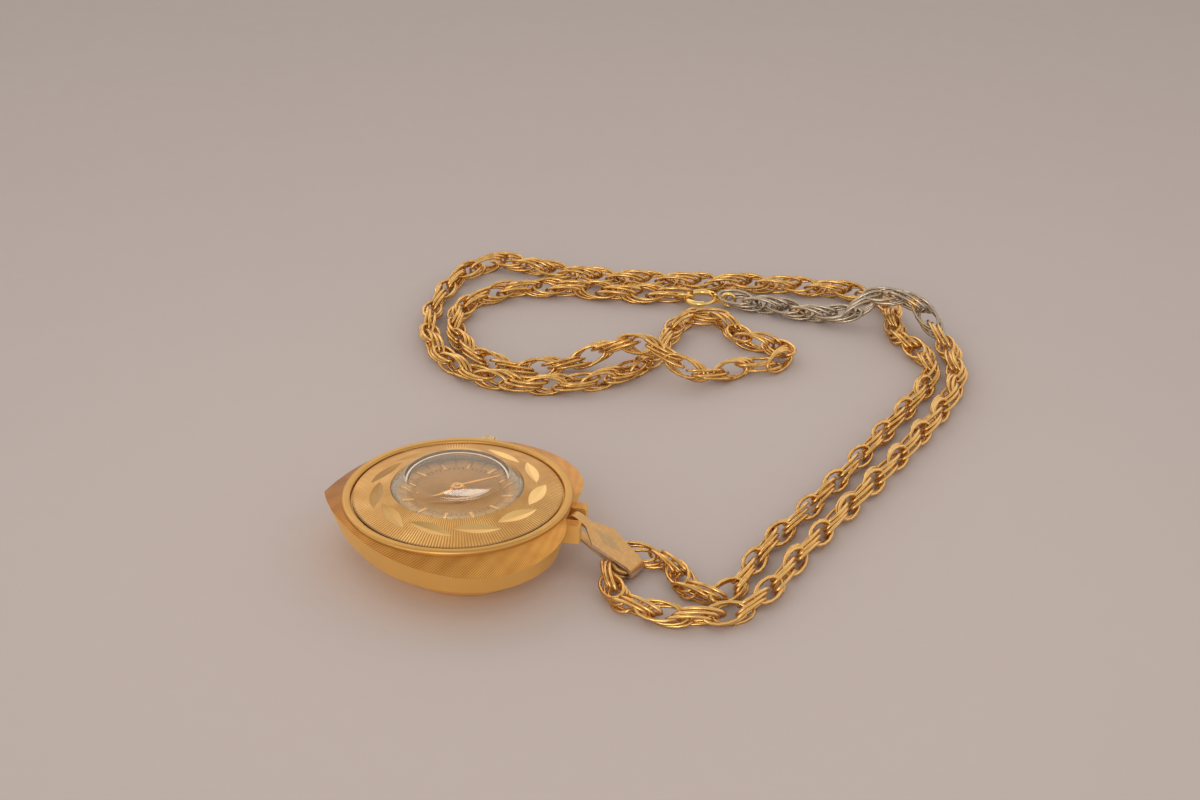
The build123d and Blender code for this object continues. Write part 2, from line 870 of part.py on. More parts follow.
with BuildPart() as jewels:
    lower_seats = [(spot, bridge_low_z) for spot in jeweled_places]
    lower_seats.append((balance_place, cock_low_z))
    upper_seats = [(spot, plate_low_z) for spot in jeweled_places + [pallet_place, balance_place]]
    for spot, seat_z in lower_seats + upper_seats:
        disc(spot, seat_z, seat_z + jewel_thickness, jewel_radius)
        disc(spot, seat_z, seat_z + jewel_thickness, pivot_radius + running_clearance, Mode.SUBTRACT)
save(jewels, "jewels")


def wheel_on_arbor(center, wheel, pinion, low_z, high_z):
    """Spoked wheel and pinion cut on one arbor; wheel and pinion are (z, teeth, module, angle)."""
    wheel_z, wheel_teeth, wheel_module, wheel_angle = wheel
    pinion_z, pinion_height, pinion_teeth, pinion_module, pinion_angle = pinion
    rim_inner = wheel_teeth * wheel_module / 2 - wheel_rim_width
    with BuildPart() as arbor:
        gear(center, wheel_z, wheel_thickness, wheel_teeth, wheel_module, wheel_angle)
        hub_radius = max(pinion_teeth * pinion_module / 2, 2 * arbor_radius) + pinion_margin
        spokes(center, wheel_z, wheel_thickness, rim_inner, hub_radius, 4, wheel_angle)
        gear(center, pinion_z, pinion_height, pinion_teeth, pinion_module, pinion_angle)
        shoulder_low = low_z + jewel_thickness + pinion_margin
        shoulder_high = high_z - pinion_margin
        core_radius = pinion_teeth * pinion_module / 2 - dedendum_share * pinion_module
        disc(center, shoulder_low, shoulder_high, core_radius)
        disc(center, low_z, high_z + jewel_thickness, pivot_radius)
    return arbor


# Going train: centre, third and fourth wheels, escape wheel
pinion_height = wheel_thickness + 2 * pinion_margin
center_pinion_z = barrel_z - pinion_margin / 2
center_tooth_angle = third_direction
center_leaf_angle = barrel_direction
third_leaf_angle = meshing_angle(third_direction, center_teeth, center_tooth_angle, third_leaves)
third_tooth_angle = fourth_direction
fourth_leaf_angle = meshing_angle(fourth_direction, third_teeth, third_tooth_angle, fourth_leaves)
fourth_tooth_angle = escape_direction
escape_leaf_angle = meshing_angle(escape_direction, fourth_teeth, fourth_tooth_angle, escape_leaves)
barrel_tooth_angle = meshing_angle(barrel_direction, center_leaves, center_leaf_angle, barrel_teeth)

with BuildPart() as center_wheel:
    gear(center_place, center_wheel_z, wheel_thickness, center_teeth, center_module, center_tooth_angle)
    center_rim_inner = center_teeth * center_module / 2 - wheel_rim_width
    center_hub = center_leaves * barrel_module / 2 + pinion_margin
    spokes(center_place, center_wheel_z, wheel_thickness, center_rim_inner, center_hub, 5, third_direction)
    gear(
        center_place,
        center_pinion_z,
        barrel_flange + pinion_margin,
        center_leaves,
        barrel_module,
        center_leaf_angle,
    )
    disc(center_place, bridge_high_z + running_clearance, center_wheel_z, 1.6 * arbor_radius)
    disc(center_place, bridge_low_z, cannon_top_z + pinion_margin, arbor_radius)
save(center_wheel, "center_wheel")

third_wheel = wheel_on_arbor(
    third_place,
    (third_wheel_z, third_teeth, third_module, third_tooth_angle),
    (center_wheel_z - pinion_margin, pinion_height, third_leaves, center_module, third_leaf_angle),
    bridge_low_z,
    plate_low_z,
)
save(third_wheel, "third_wheel")

fourth_wheel = wheel_on_arbor(
    fourth_place,
    (fourth_wheel_z, fourth_teeth, fourth_module, fourth_tooth_angle),
    (third_wheel_z - pinion_margin, pinion_height, fourth_leaves, third_module, fourth_leaf_angle),
    bridge_low_z,
    plate_low_z,
)
save(fourth_wheel, "fourth_wheel")

with BuildPart() as escape_wheel:
    escape_points = []
    tooth_pitch = 360 / escape_teeth
    for tooth in range(escape_teeth):
        tip_angle = tooth * tooth_pitch
        lean_angle = tip_angle - tooth_lean_share * tooth_pitch
        back_angle = tip_angle + tooth_back_share * tooth_pitch
        escape_points.append(place(center_place, escape_root_radius, lean_angle))
        escape_points.append(place(center_place, escape_radius, tip_angle))
        escape_points.append(place(center_place, escape_root_radius, back_angle))
    with BuildSketch(Plane.XY.offset(escape_wheel_z)):
        with Locations(escape_place):
            Polygon(*escape_points, align=None)
    extrude(amount=wheel_thickness)
    spokes(
        escape_place,
        escape_wheel_z,
        wheel_thickness,
        escape_root_radius * escape_rim_share,
        1.6 * arbor_radius,
        4,
        45,
    )
    gear(
        escape_place,
        fourth_wheel_z - pinion_margin,
        pinion_height,
        escape_leaves,
        fourth_module,
        escape_leaf_angle,
    )
    escape_core = escape_leaves * fourth_module / 2 - dedendum_share * fourth_module
    disc(escape_place, bridge_high_z, plate_low_z - pinion_margin, escape_core)
    disc(escape_place, bridge_low_z, plate_low_z + jewel_thickness, escape_core)
save(escape_wheel, "escape_wheel")

barrel_drum_radius = barrel_teeth * barrel_module / 2 - 2 * pinion_margin
with BuildPart() as barrel:
    gear(barrel_place, barrel_z, barrel_flange, barrel_teeth, barrel_module, barrel_tooth_angle)
    disc(barrel_place, barrel_z, barrel_z + barrel_height, barrel_drum_radius - pinion_margin)
    disc(
        barrel_place,
        barrel_z + barrel_flange,
        barrel_z + barrel_height - barrel_wall,
        barrel_drum_radius - pinion_margin - barrel_wall,
        Mode.SUBTRACT,
    )
    disc(
        barrel_place,
        barrel_z,
        barrel_z + barrel_height,
        2 * arbor_radius + running_clearance,
        Mode.SUBTRACT,
    )
save(barrel, "barrel")

with BuildPart() as mainspring:
    with BuildSketch(Plane.XY.offset(barrel_z + barrel_flange + easy_clearance)):
        with Locations(barrel_place):
            Polygon(
                *spiral_points(
                    3 * arbor_radius + mainspring_strip,
                    barrel_drum_radius - pinion_margin - barrel_wall - mainspring_strip,
                    mainspring_turns,
                    mainspring_strip,
                ),
                align=None,
            )
    extrude(amount=barrel_height - barrel_flange - barrel_wall - 2 * easy_clearance)
save(mainspring, "mainspring")

ratchet_tooth_angle = crown_wheel_direction
crown_tooth_angle = meshing_angle(
    crown_wheel_direction, ratchet_teeth, ratchet_tooth_angle, crown_wheel_teeth
)
with BuildPart() as ratchet_wheel:
    gear(barrel_place, ratchet_z, ratchet_thickness, ratchet_teeth, ratchet_module, ratchet_tooth_angle)
    disc(barrel_place, ratchet_z, barrel_z + barrel_height, 2 * arbor_radius)
    disc(barrel_place, bridge_low_z, plate_high_z, arbor_radius)
save(ratchet_wheel, "ratchet_wheel")

with BuildPart() as crown_wheel:
    gear(
        crown_wheel_place,
        ratchet_z,
        ratchet_thickness,
        crown_wheel_teeth,
        ratchet_module,
        crown_tooth_angle,
    )
    disc(
        crown_wheel_place,
        ratchet_z,
        ratchet_z + ratchet_thickness,
        2 * arbor_radius + running_clearance,
        Mode.SUBTRACT,
    )
save(crown_wheel, "crown_wheel")

ratchet_tip_radius = ratchet_teeth * ratchet_module / 2 + addendum_share * ratchet_module
click_tip = place(
    barrel_place,
    ratchet_tip_radius + click_nose_radius + running_clearance,
    click_direction + click_lean,
)
with BuildPart() as click:
    with BuildSketch(Plane.XY.offset(ratchet_z)):
        with Locations(click_place):
            Circle(click_width / 2)
        with Locations(click_tip):
            Circle(click_nose_radius)
        make_hull()
        with Locations(click_place):
            Circle(arbor_radius + running_clearance, mode=Mode.SUBTRACT)
    extrude(amount=ratchet_thickness)
save(click, "click")

# Pallet fork: lever towards the balance, two arms over the escape wheel
escape_side = pallet_direction + 180
with BuildPart() as pallet_fork:
    fork_tip = place(pallet_place, fork_reach, balance_direction)
    fork_middle = place(pallet_place, fork_reach / 2, balance_direction)
    with BuildSketch(Plane.XY.offset(fork_z)):
        with Locations(fork_middle):
            Rectangle(fork_reach, 2 * fork_half_width, rotation=balance_direction)
        with Locations(place(fork_tip, fork_jaw / 2, balance_direction)):
            Rectangle(fork_jaw, 4 * fork_half_width, rotation=balance_direction)
            notch_width = 2 * roller_pin_radius + easy_clearance
            Rectangle(fork_jaw, notch_width, rotation=balance_direction, mode=Mode.SUBTRACT)
        for side in (-1, 1):
            pallet_angle = pallet_direction + side * pallet_spread
            pallet_tip = place(escape_place, escape_radius + easy_clearance, pallet_angle)
            arm_length = hypot(pallet_tip[0] - pallet_place[0], pallet_tip[1] - pallet_place[1])
            arm_turn = degrees(atan2(pallet_tip[1] - pallet_place[1], pallet_tip[0] - pallet_place[0]))
            with Locations(place(pallet_place, arm_length / 2, arm_turn)):
                Rectangle(arm_length, fork_half_width, rotation=arm_turn)
        with Locations(pallet_place):
            Circle(2 * fork_half_width)
    extrude(amount=fork_thickness)
    disc(pallet_place, fork_z - easy_clearance / 2, plate_low_z - pinion_margin, fork_half_width)
    disc(pallet_place, pallet_bridge_z, plate_low_z + jewel_thickness, pivot_radius)
save(pallet_fork, "pallet_fork")

# Balance wheel with staff and roller, its spring and the regulator
with BuildPart() as balance_wheel:
    disc(balance_place, balance_z, balance_z + balance_thickness, balance_radius)
    disc(
        balance_place,
        balance_z,
        balance_z + balance_thickness,
        balance_radius - balance_rim_width,
        Mode.SUBTRACT,
    )
    with BuildSketch(Plane.XY.offset(balance_z)):
        with Locations(balance_place):
            Rectangle(2 * balance_radius - balance_rim_width, balance_arm_width)
            Circle(2 * arbor_radius)
    extrude(amount=balance_thickness)
    staff_low_z = cock_low_z + cock_thickness + easy_clearance
    disc(balance_place, staff_low_z, plate_low_z - pinion_margin, arbor_radius)
    disc(balance_place, cock_low_z, plate_low_z + jewel_thickness, pivot_radius)
    disc(balance_place, roller_z, roller_z + jewel_thickness, roller_radius)
    pin_place = place(balance_place, roller_radius - roller_pin_radius, balance_direction + 180)
    disc(pin_place, roller_z + jewel_thickness, fork_z + fork_thickness, roller_pin_radius)
save(balance_wheel, "balance_wheel")

with BuildPart() as hairspring:
    with BuildSketch(Plane.XY.offset(spring_z)):
        with Locations(balance_place):
            Polygon(
                *spiral_points(spring_inner_radius, spring_outer_radius, hairspring_turns, spring_strip),
                align=None,
            )
            Circle(spring_inner_radius)
            Circle(arbor_radius, mode=Mode.SUBTRACT)
    extrude(amount=spring_height)
save(hairspring, "hairspring")

with BuildPart() as regulator:
    regulator_z = cock_low_z - jewel_thickness
    regulator_tip = place(balance_place, balance_radius, balance_direction)
    regulator_middle = place(balance_place, balance_radius / 2, balance_direction)
    with BuildSketch(Plane.XY.offset(regulator_z)):
        with Locations(regulator_middle):
            Rectangle(balance_radius, balance_arm_width, rotation=balance_direction)
        with Locations(balance_place):
            Circle(2 * jewel_radius)
            Circle(jewel_radius + running_clearance, mode=Mode.SUBTRACT)
    extrude(amount=jewel_thickness)
save(regulator, "regulator")

# Winding and setting work
with BuildPart() as case_tube:
    with BuildSketch(Plane.YZ.offset(-movement_radius - easy_clearance)):
        with Locations((0, crown_axis_z)):
            Circle(tube_outer_radius)
            Circle(stem_radius + running_clearance, mode=Mode.SUBTRACT)
    extrude(amount=movement_radius - crown_seat_x)
save(case_tube, "case_tube")

with BuildPart() as crown:
    rib_points = []
    for rib in range(crown_ribs):
        rib_angle = rib * 360 / crown_ribs
        valley_angle = rib_angle + 180 / crown_ribs
        rib_points.append(place(center_place, crown_radius, rib_angle))
        rib_points.append(place(center_place, crown_radius - crown_rib_depth, valley_angle))
    with BuildSketch(Plane.YZ.offset(-crown_inner_x)):
        with Locations((0, crown_axis_z)):
            Polygon(*rib_points, align=None)
    extrude(amount=-crown_length * crown_knurl_share)
    with BuildSketch(Plane.YZ.offset(-crown_inner_x - crown_length * crown_knurl_share)):
        with Locations((0, crown_axis_z)):
            Circle(crown_radius - 1.5 * crown_rib_depth)
    extrude(amount=-crown_length * (1 - crown_knurl_share), taper=crown_taper)
save(crown, "crown")

with BuildPart() as stem:
    with BuildSketch(Plane.YZ.offset(-stem_inner_x)):
        with Locations((0, crown_axis_z)):
            Circle(stem_radius)
    extrude(amount=stem_inner_x - crown_inner_x)
    with BuildSketch(Plane.YZ.offset(-stem_groove_x - stem_groove_width / 2)):
        with Locations((0, crown_axis_z)):
            Circle(stem_radius)
            Circle(stem_radius - stem_groove_depth, mode=Mode.SUBTRACT)
    extrude(amount=stem_groove_width, mode=Mode.SUBTRACT)
save(stem, "stem")

with BuildPart() as winding_pinion:
    with BuildSketch(Plane.YZ.offset(-winding_pinion_x)):
        with Locations((0, crown_axis_z)):
            Polygon(*tooth_points(winding_pinion_teeth, winding_pinion_module, 0), align=None)
            Circle(stem_radius + running_clearance, mode=Mode.SUBTRACT)
    extrude(amount=winding_pinion_length / 2, both=True)
save(winding_pinion, "winding_pinion")

with BuildPart() as clutch:
    with BuildSketch(Plane.YZ.offset(-clutch_x)):
        with Locations((0, crown_axis_z)):
            Circle(clutch_radius)
            Circle(stem_radius + running_clearance, mode=Mode.SUBTRACT)
    extrude(amount=clutch_length / 2, both=True)
    with BuildSketch(Plane.YZ.offset(-clutch_x)):
        with Locations((0, crown_axis_z)):
            Circle(clutch_radius)
            Circle(clutch_radius - stem_groove_depth, mode=Mode.SUBTRACT)
    extrude(amount=stem_groove_width / 2, both=True, mode=Mode.SUBTRACT)
save(clutch, "clutch")


def lever(pivot, target, pin_low_z):
    """Flat lever from a pivot post to a pin that drops into a groove."""
    with BuildPart() as lever_part:
        with BuildSketch(Plane.XY.offset(lever_z)):
            with Locations(pivot):
                Circle(lever_width / 2 + easy_clearance)
            with Locations(target):
                Circle(lever_width / 2)
            make_hull()
            with Locations(pivot):
                Circle(pivot_radius + running_clearance, mode=Mode.SUBTRACT)
        extrude(amount=lever_thickness)
        disc(target, pin_low_z, lever_z, lever_pin_radius)
    return lever_part


setting_lever = lever(
    lever_place,
    (-stem_groove_x, 0),
    crown_axis_z + stem_radius - stem_groove_depth + running_clearance,
)
save(setting_lever, "setting_lever")
yoke = lever(
    yoke_place,
    (-clutch_x, 0),
    crown_axis_z + clutch_radius - stem_groove_depth + running_clearance,
)
save(yoke, "yoke")

# Motion work
cannon_leaf_angle = motion_direction
minute_tooth_angle = meshing_angle(motion_direction, cannon_leaves, cannon_leaf_angle, minute_teeth)
minute_leaf_angle = motion_direction + 180
hour_tooth_angle = meshing_angle(motion_direction + 180, minute_leaves, minute_leaf_angle, hour_teeth)

with BuildPart() as cannon_pinion:
    gear(center_place, cannon_z, cannon_height, cannon_leaves, cannon_module, cannon_leaf_angle)
    disc(center_place, cannon_z, cannon_top_z, cannon_tube_radius)
    disc(center_place, cannon_z, cannon_top_z, cannon_bore_radius, Mode.SUBTRACT)
save(cannon_pinion, "cannon_pinion")

with BuildPart() as minute_wheel:
    gear(minute_place, cannon_z, cannon_height, minute_teeth, cannon_module, minute_tooth_angle)
    minute_leaf_height = hour_wheel_z + hour_wheel_height - cannon_z - cannon_height
    gear(
        minute_place,
        cannon_z + cannon_height,
        minute_leaf_height,
        minute_leaves,
        hour_module,
        minute_leaf_angle,
    )
    disc(
        minute_place,
        cannon_z,
        hour_wheel_z + hour_wheel_height,
        pivot_radius + running_clearance,
        Mode.SUBTRACT,
    )
save(minute_wheel, "minute_wheel")

with BuildPart() as hour_wheel:
    gear(center_place, hour_wheel_z, hour_wheel_height, hour_teeth, hour_module, hour_tooth_angle)
    disc(center_place, hour_wheel_z, hour_tube_top_z, hour_tube_radius)
    disc(
        center_place,
        hour_wheel_z,
        hour_tube_top_z,
        cannon_tube_radius + running_clearance,
        Mode.SUBTRACT,
    )
save(hour_wheel, "hour_wheel")


# Hanging loop: strip folded round the lug bar at one end and round the chain at the other
bail_heading = 90 - bail_swing_angle
bail_plane = Plane(
    origin=(0, bar_y, 0),
    x_dir=(cos(radians(bail_heading)), sin(radians(bail_heading)), 0),
    z_dir=(sin(radians(bail_heading)), -cos(radians(bail_heading)), 0),
)
bail_across = bail_heading - 90
bail_fall = atan2(bar_z - bail_fold_radius, bail_reach)


def bail_point(along, across):
    """Place in plan of a point along and across the hanging loop."""
    return place(place((0, bar_y), along, bail_heading), across, bail_across)


def belt(inset):
    """Side outline of the loop, drawn in from its outer face."""
    with BuildSketch(bail_plane) as belt_face:
        with Locations((0, bar_z)):
            Circle(bail_top_radius - inset)
        with Locations((bail_reach, bail_fold_radius)):
            Circle(bail_fold_radius - inset)
        make_hull()
    return belt_face.sketch


with BuildPart() as bail:
    extrude(belt(0), amount=bail_leaf_width / 2, both=True)
    extrude(belt(bail_wall), amount=bail_leaf_width, both=True, mode=Mode.SUBTRACT)
    bail_widest = bail_reach * bail_widest_share
    bail_end = bail_reach + 2 * bail_fold_radius
    with BuildSketch() as leaf_plan:
        with BuildLine():
            Polyline(
                bail_point(-2 * bail_top_radius, -bail_leaf_tip_width / 2),
                bail_point(bail_neck_length, -bail_leaf_tip_width / 2),
                bail_point(bail_widest, -bail_leaf_width / 2),
                bail_point(bail_end, -bail_leaf_end_width / 2),
                bail_point(bail_end, bail_leaf_end_width / 2),
                bail_point(bail_widest, bail_leaf_width / 2),
                bail_point(bail_neck_length, bail_leaf_tip_width / 2),
                bail_point(-2 * bail_top_radius, bail_leaf_tip_width / 2),
                close=True,
            )
        make_face()
    extrude(amount=bar_z + 2 * bail_top_radius, mode=Mode.INTERSECT)
    fall = tan(bail_fall)
    for side in (-1, 1):
        with BuildSketch(bail_plane.offset(side * bail_leg_width / 2)) as beside_leg:
            with BuildLine():
                Polyline(
                    (-2 * bail_top_radius, bar_z + 2 * bail_top_radius * fall),
                    (bail_end, bar_z - bail_end * fall),
                    (bail_end, -bail_fold_radius),
                    (-2 * bail_top_radius, -bail_fold_radius),
                    close=True,
                )
            make_face()
        extrude(amount=side * bail_leaf_width, mode=Mode.SUBTRACT)
save(bail, "bail")


def ring(center, radius, wire_radius, normal):
    """Closed wire ring."""
    with BuildPart() as ring_part:
        with BuildLine(Plane(origin=center, z_dir=normal)):
            ring_line = CenterArc((0, 0), radius, 0, 360)
        with BuildSketch(Plane(origin=ring_line @ 0, z_dir=ring_line % 0)):
            Circle(wire_radius)
        sweep()
    return ring_part


# Two chain links lying in the fold of the loop
link_half_width = chain_link_width / 2 - chain_wire_radius
link_half_length = chain_link_length / 2 - chain_wire_radius
link_rise = chain_wire_radius + easy_clearance
fold_room = bail_fold_radius - bail_wall - chain_wire_radius - running_clearance
link_back = link_half_width - (fold_room**2 - link_rise**2) ** 0.5
with BuildPart() as fold_links:
    for side in (-1, 1):
        link_along = bail_reach - link_back * cos(bail_fall) + side * link_rise * sin(bail_fall)
        link_z = bail_fold_radius + link_back * sin(bail_fall) + side * link_rise * cos(bail_fall)
        link_plane = Plane(
            origin=(*bail_point(link_along, 0), link_z),
            x_dir=(cos(radians(bail_across)), sin(radians(bail_across)), 0),
            z_dir=(*place((0, 0), sin(bail_fall), bail_heading), cos(bail_fall)),
        )
        with BuildLine(link_plane) as link_line:
            straight = link_half_length - link_half_width
            lower_run = Line((-straight, -link_half_width), (straight, -link_half_width))
            CenterArc((straight, 0), link_half_width, -90, 180)
            Line((straight, link_half_width), (-straight, link_half_width))
            CenterArc((-straight, 0), link_half_width, 90, 180)
        with BuildSketch(Plane(origin=lower_run @ 0, z_dir=lower_run % 0)):
            Circle(chain_wire_radius)
        sweep(path=link_line.wires()[0])
save(fold_links, "fold_links")


# Clasp: split hollow ring, sliding wire with a knob, eyelet, jump ring and end ring
def clasp_arc(start_angle, sweep_angle, radius, mode=Mode.ADD, level=clasp_z):
    """Round wire or bore along part of the clasp ring."""
    with BuildLine(Plane(origin=(clasp_x, clasp_y, level))):
        arc = CenterArc((0, 0), clasp_radius, start_angle, sweep_angle)
    with BuildSketch(Plane(origin=arc @ 0, z_dir=arc % 0)) as wire_face:
        Circle(radius)
    sweep(wire_face.sketch, path=arc, mode=mode)


eyelet_y = clasp_y + clasp_radius + clasp_tube_radius + eyelet_radius - easy_clearance
with BuildPart() as clasp_ring:
    clasp_arc(clasp_gap_end, 360 - clasp_gap_end + clasp_gap_start, clasp_tube_radius)
    with BuildSketch(Plane.XY.offset(clasp_z)) as eyelet_face:
        with Locations((clasp_x, eyelet_y)):
            Circle(eyelet_radius + eyelet_wire_radius)
    extrude(amount=eyelet_wire_radius, both=True)
    clasp_arc(clasp_gap_end, 360 - clasp_gap_end + clasp_gap_start, clasp_bore_radius, Mode.SUBTRACT)
    disc((clasp_x, eyelet_y), 0, 2 * clasp_z, eyelet_radius - eyelet_wire_radius, Mode.SUBTRACT)
    slot_z = clasp_z + clasp_tube_radius
    clasp_arc(clasp_gap_end, clasp_travel + 3 * clasp_overlap, knob_radius, Mode.SUBTRACT, slot_z)
save(clasp_ring, "clasp_ring")

knob_angle = clasp_gap_end + clasp_overlap
knob_place = place((clasp_x, clasp_y), clasp_radius, knob_angle)
with BuildPart() as clasp_trigger:
    trigger_start = clasp_gap_start - clasp_overlap
    clasp_arc(trigger_start, knob_angle + clasp_overlap - trigger_start, clasp_wire_radius)
    disc(knob_place, clasp_z, clasp_z + knob_height, clasp_wire_radius)
save(clasp_trigger, "clasp_trigger")

clasp_jump_ring = ring(
    (clasp_x, eyelet_y + jump_ring_radius, clasp_z + easy_clearance / 2),
    jump_ring_radius,
    ring_wire_radius,
    (1, 0, 0),
)
save(clasp_jump_ring, "clasp_jump_ring")

end_ring_y = clasp_y - clasp_radius - end_ring_inset
end_ring = ring(
    (clasp_x, end_ring_y, clasp_z),
    end_ring_radius,
    ring_wire_radius,
    (cos(radians(end_ring_tilt)), 0, -sin(radians(end_ring_tilt))),
)
save(end_ring, "end_ring")


# Chain: one tube from the far side of the fold to the clasp, one from the clasp to the near side
long_side_route = [
    (0.3, 19.6, chain_z),
    (0.6, 21.9, chain_z),
    (2.7, 23.7, chain_z),
    (5.2, 24.9, chain_z),
    (6.8, 26.9, chain_z),
    (6.0, 29.2, chain_z),
    (3.2, 30.4, chain_z),
    (-0.6, 31.1, chain_z),
    (-5.6, 32.6, chain_z),
    (-12.2, 35.4, chain_z),
    (-22.4, 39.2, chain_z),
    (-34.0, 43.0, chain_z),
    (-42.6, 45.9, chain_z),
    (-47.6, 46.6, chain_z),
    (-51.6, 45.4, chain_z),
    (-54.6, 43.0, chain_z),
    (-58.0, 41.2, chain_z),
    (-62.2, 40.9, chain_z),
    (-65.6, 40.0, chain_z),
    (-67.6, 37.2, chain_z),
    (-68.4, 33.2, chain_z),
    (-68.7, 26.6, chain_z),
    (-68.2, 19.4, chain_z),
    (-67.2, 12.6, chain_z),
    (-66.6, 5.6, chain_z),
    (-66.8, -0.6, chain_z),
    (-68.2, -6.0, chain_z),
    (-69.7, -10.2, chain_z),
    (-67.4, -13.7, chain_z),
    (-63.2, -15.4, chain_z),
    (-58.2, -16.1, chain_z),
    (-53.0, -16.2, chain_z),
    (-48.0, -15.5, chain_z),
    (-43.7, -13.7, chain_z),
    (-39.9, -11.0, chain_z),
    (-37.1, -7.7, chain_z),
    (-35.7, -3.6, chain_z),
    (-35.4, 0.8, chain_z),
    (-36.6, 5.2, chain_z),
    (-38.8, 9.2, chain_z),
    (-42.6, 12.2, chain_z),
    (-47.2, 13.8, chain_z),
    (-50.4, 14.3, chain_z),
    (-53.4, 14.4, chain_z),
    (-56.4, 15.6, chain_z),
    (-57.9, 18.2, chain_z),
    (-56.4, 20.7, chain_z),
    (-53.6, 22.0, chain_z),
    (-51.6, 24.4, chain_z),
    (-51.0, 27.2, chain_z),
    (-48.9, 29.2, chain_z),
    (-46.3, 27.9, chain_z),
    (-45.2, 25.2, chain_z),
    (-43.6, 22.8, chain_z),
    (-41.6, 20.6, chain_z),
    (-40.6, 17.8, hump_side_z),
    (-41.6, 14.9, hump_z),
    (-43.2, 10.6, hump_z),
    (-43.3, 7.2, hump_side_z),
    (-41.8, 3.8, chain_z),
    (-39.6, 0.2, chain_z),
    (-39.4, -3.8, chain_z),
    (-41.2, -7.4, chain_z),
    (-44.0, -9.9, chain_z),
    (-47.4, -11.8, chain_z),
    (-51.2, -12.8, chain_z),
    (-55.2, -12.4, chain_z),
    (-58.6, -10.6, chain_z),
    (-61.0, -7.6, chain_z),
    (-62.4, -3.6, chain_z),
    (-62.8, 1.6, chain_z),
    (-62.4, 7.4, chain_z),
    (-63.0, 12.4, chain_z),
]
short_side_route = [
    (-63.0, 21.6, chain_z),
    (-62.3, 25.2, chain_z),
    (-61.2, 29.4, chain_z),
    (-60.6, 33.2, chain_z),
    (-60.7, 36.4, hump_side_z),
    (-61.7, 39.1, hump_z),
    (-61.3, 42.9, hump_z),
    (-59.0, 45.6, hump_side_z),
    (-55.4, 47.5, chain_z),
    (-50.6, 49.2, chain_z),
    (-45.6, 49.7, chain_z),
    (-40.2, 48.8, chain_z),
    (-31.6, 46.2, chain_z),
    (-20.4, 42.2, chain_z),
    (-9.6, 38.1, chain_z),
    (-2.6, 35.5, chain_z),
    (3.6, 33.8, chain_z),
    (8.0, 31.8, chain_z),
    (10.4, 29.0, chain_z),
    (11.0, 25.8, chain_z),
    (10.8, 22.6, chain_z),
    (9.6, 19.6, chain_z),
    (7.5, 17.7, chain_z),
    (4.9, 17.1, chain_z),
]


def chain_tube(route, name):
    """Tube along a route of straight runs joined by tangent arcs, with its figures printed."""
    points = [Vector(*point) for point in route]
    runs = [after - before for before, after in zip(points, points[1:])]
    radii = []
    for before, after in zip(runs, runs[1:]):
        turn = radians(before.get_angle(after))
        shorter = min(before.length, after.length)
        radii.append(arc_run_share * shorter / tan(turn / 2))
    with BuildPart() as tube:
        with BuildLine() as tube_line:
            FilletPolyline(*points, radius=radii)
        path = tube_line.wires()[0]
        with BuildSketch(Plane(origin=path @ 0, z_dir=path % 0)):
            Circle(chain_radius)
        sweep(path=path)
    expected = pi * chain_radius**2 * path.length
    print(name, "length", round(path.length, 1), "radii", [round(radius, 1) for radius in radii])
    print(name, "volume", round(tube.part.volume, 1), "section times length", round(expected, 1))
    save(tube, name)


chain_tube(long_side_route, "chain_long_side")
chain_tube(short_side_route, "chain_short_side")
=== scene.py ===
import math

import bpy
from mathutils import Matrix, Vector


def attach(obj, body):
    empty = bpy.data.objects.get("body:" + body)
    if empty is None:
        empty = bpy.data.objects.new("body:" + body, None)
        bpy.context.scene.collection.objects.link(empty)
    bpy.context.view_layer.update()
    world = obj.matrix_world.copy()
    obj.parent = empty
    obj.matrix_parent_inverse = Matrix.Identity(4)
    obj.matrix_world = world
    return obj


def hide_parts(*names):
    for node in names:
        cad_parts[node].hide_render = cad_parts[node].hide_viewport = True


# Finishes, chain links, glass, table and light over the CAD pieces of the pendant watch.
# Lengths are in metres, with MM for values in millimetres. Angles are in radians.
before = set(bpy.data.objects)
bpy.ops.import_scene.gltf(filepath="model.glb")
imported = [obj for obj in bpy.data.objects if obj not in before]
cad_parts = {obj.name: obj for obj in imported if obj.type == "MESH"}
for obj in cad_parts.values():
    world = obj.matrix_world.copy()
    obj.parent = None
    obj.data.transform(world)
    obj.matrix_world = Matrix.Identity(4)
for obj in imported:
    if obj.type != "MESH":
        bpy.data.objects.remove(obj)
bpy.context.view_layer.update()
MM = 0.001
SHEET = bpy.context.scene.collection

# ---------------------------------------------------------------- camera

LENS_LENGTH = 71.59
SENSOR_WIDTH = 36.0
NEAREST_SEEN = 0.01
CAMERA_PLACE = (0.209239, 0.053853, 0.130270)
CAMERA_DOWN = 27.645
CAMERA_ROUND = 100.5


def set_up_camera():
    """Camera that looks down over the near edge of the table, as a person photographing the watch would."""
    lens = bpy.data.cameras.new("table_camera")
    lens.lens = LENS_LENGTH
    lens.sensor_width = SENSOR_WIDTH
    lens.clip_start = NEAREST_SEEN
    camera = bpy.data.objects.new("table_camera", lens)
    camera.location = CAMERA_PLACE
    camera.rotation_euler = (math.radians(90 - CAMERA_DOWN), 0, math.radians(CAMERA_ROUND))
    SHEET.objects.link(camera)
    bpy.context.scene.camera = camera


set_up_camera()

# ---------------------------------------------------------------- node trees

NOISE_ROUGHNESS = 0.55
NOISE_RANGE = (0.3, 0.7)


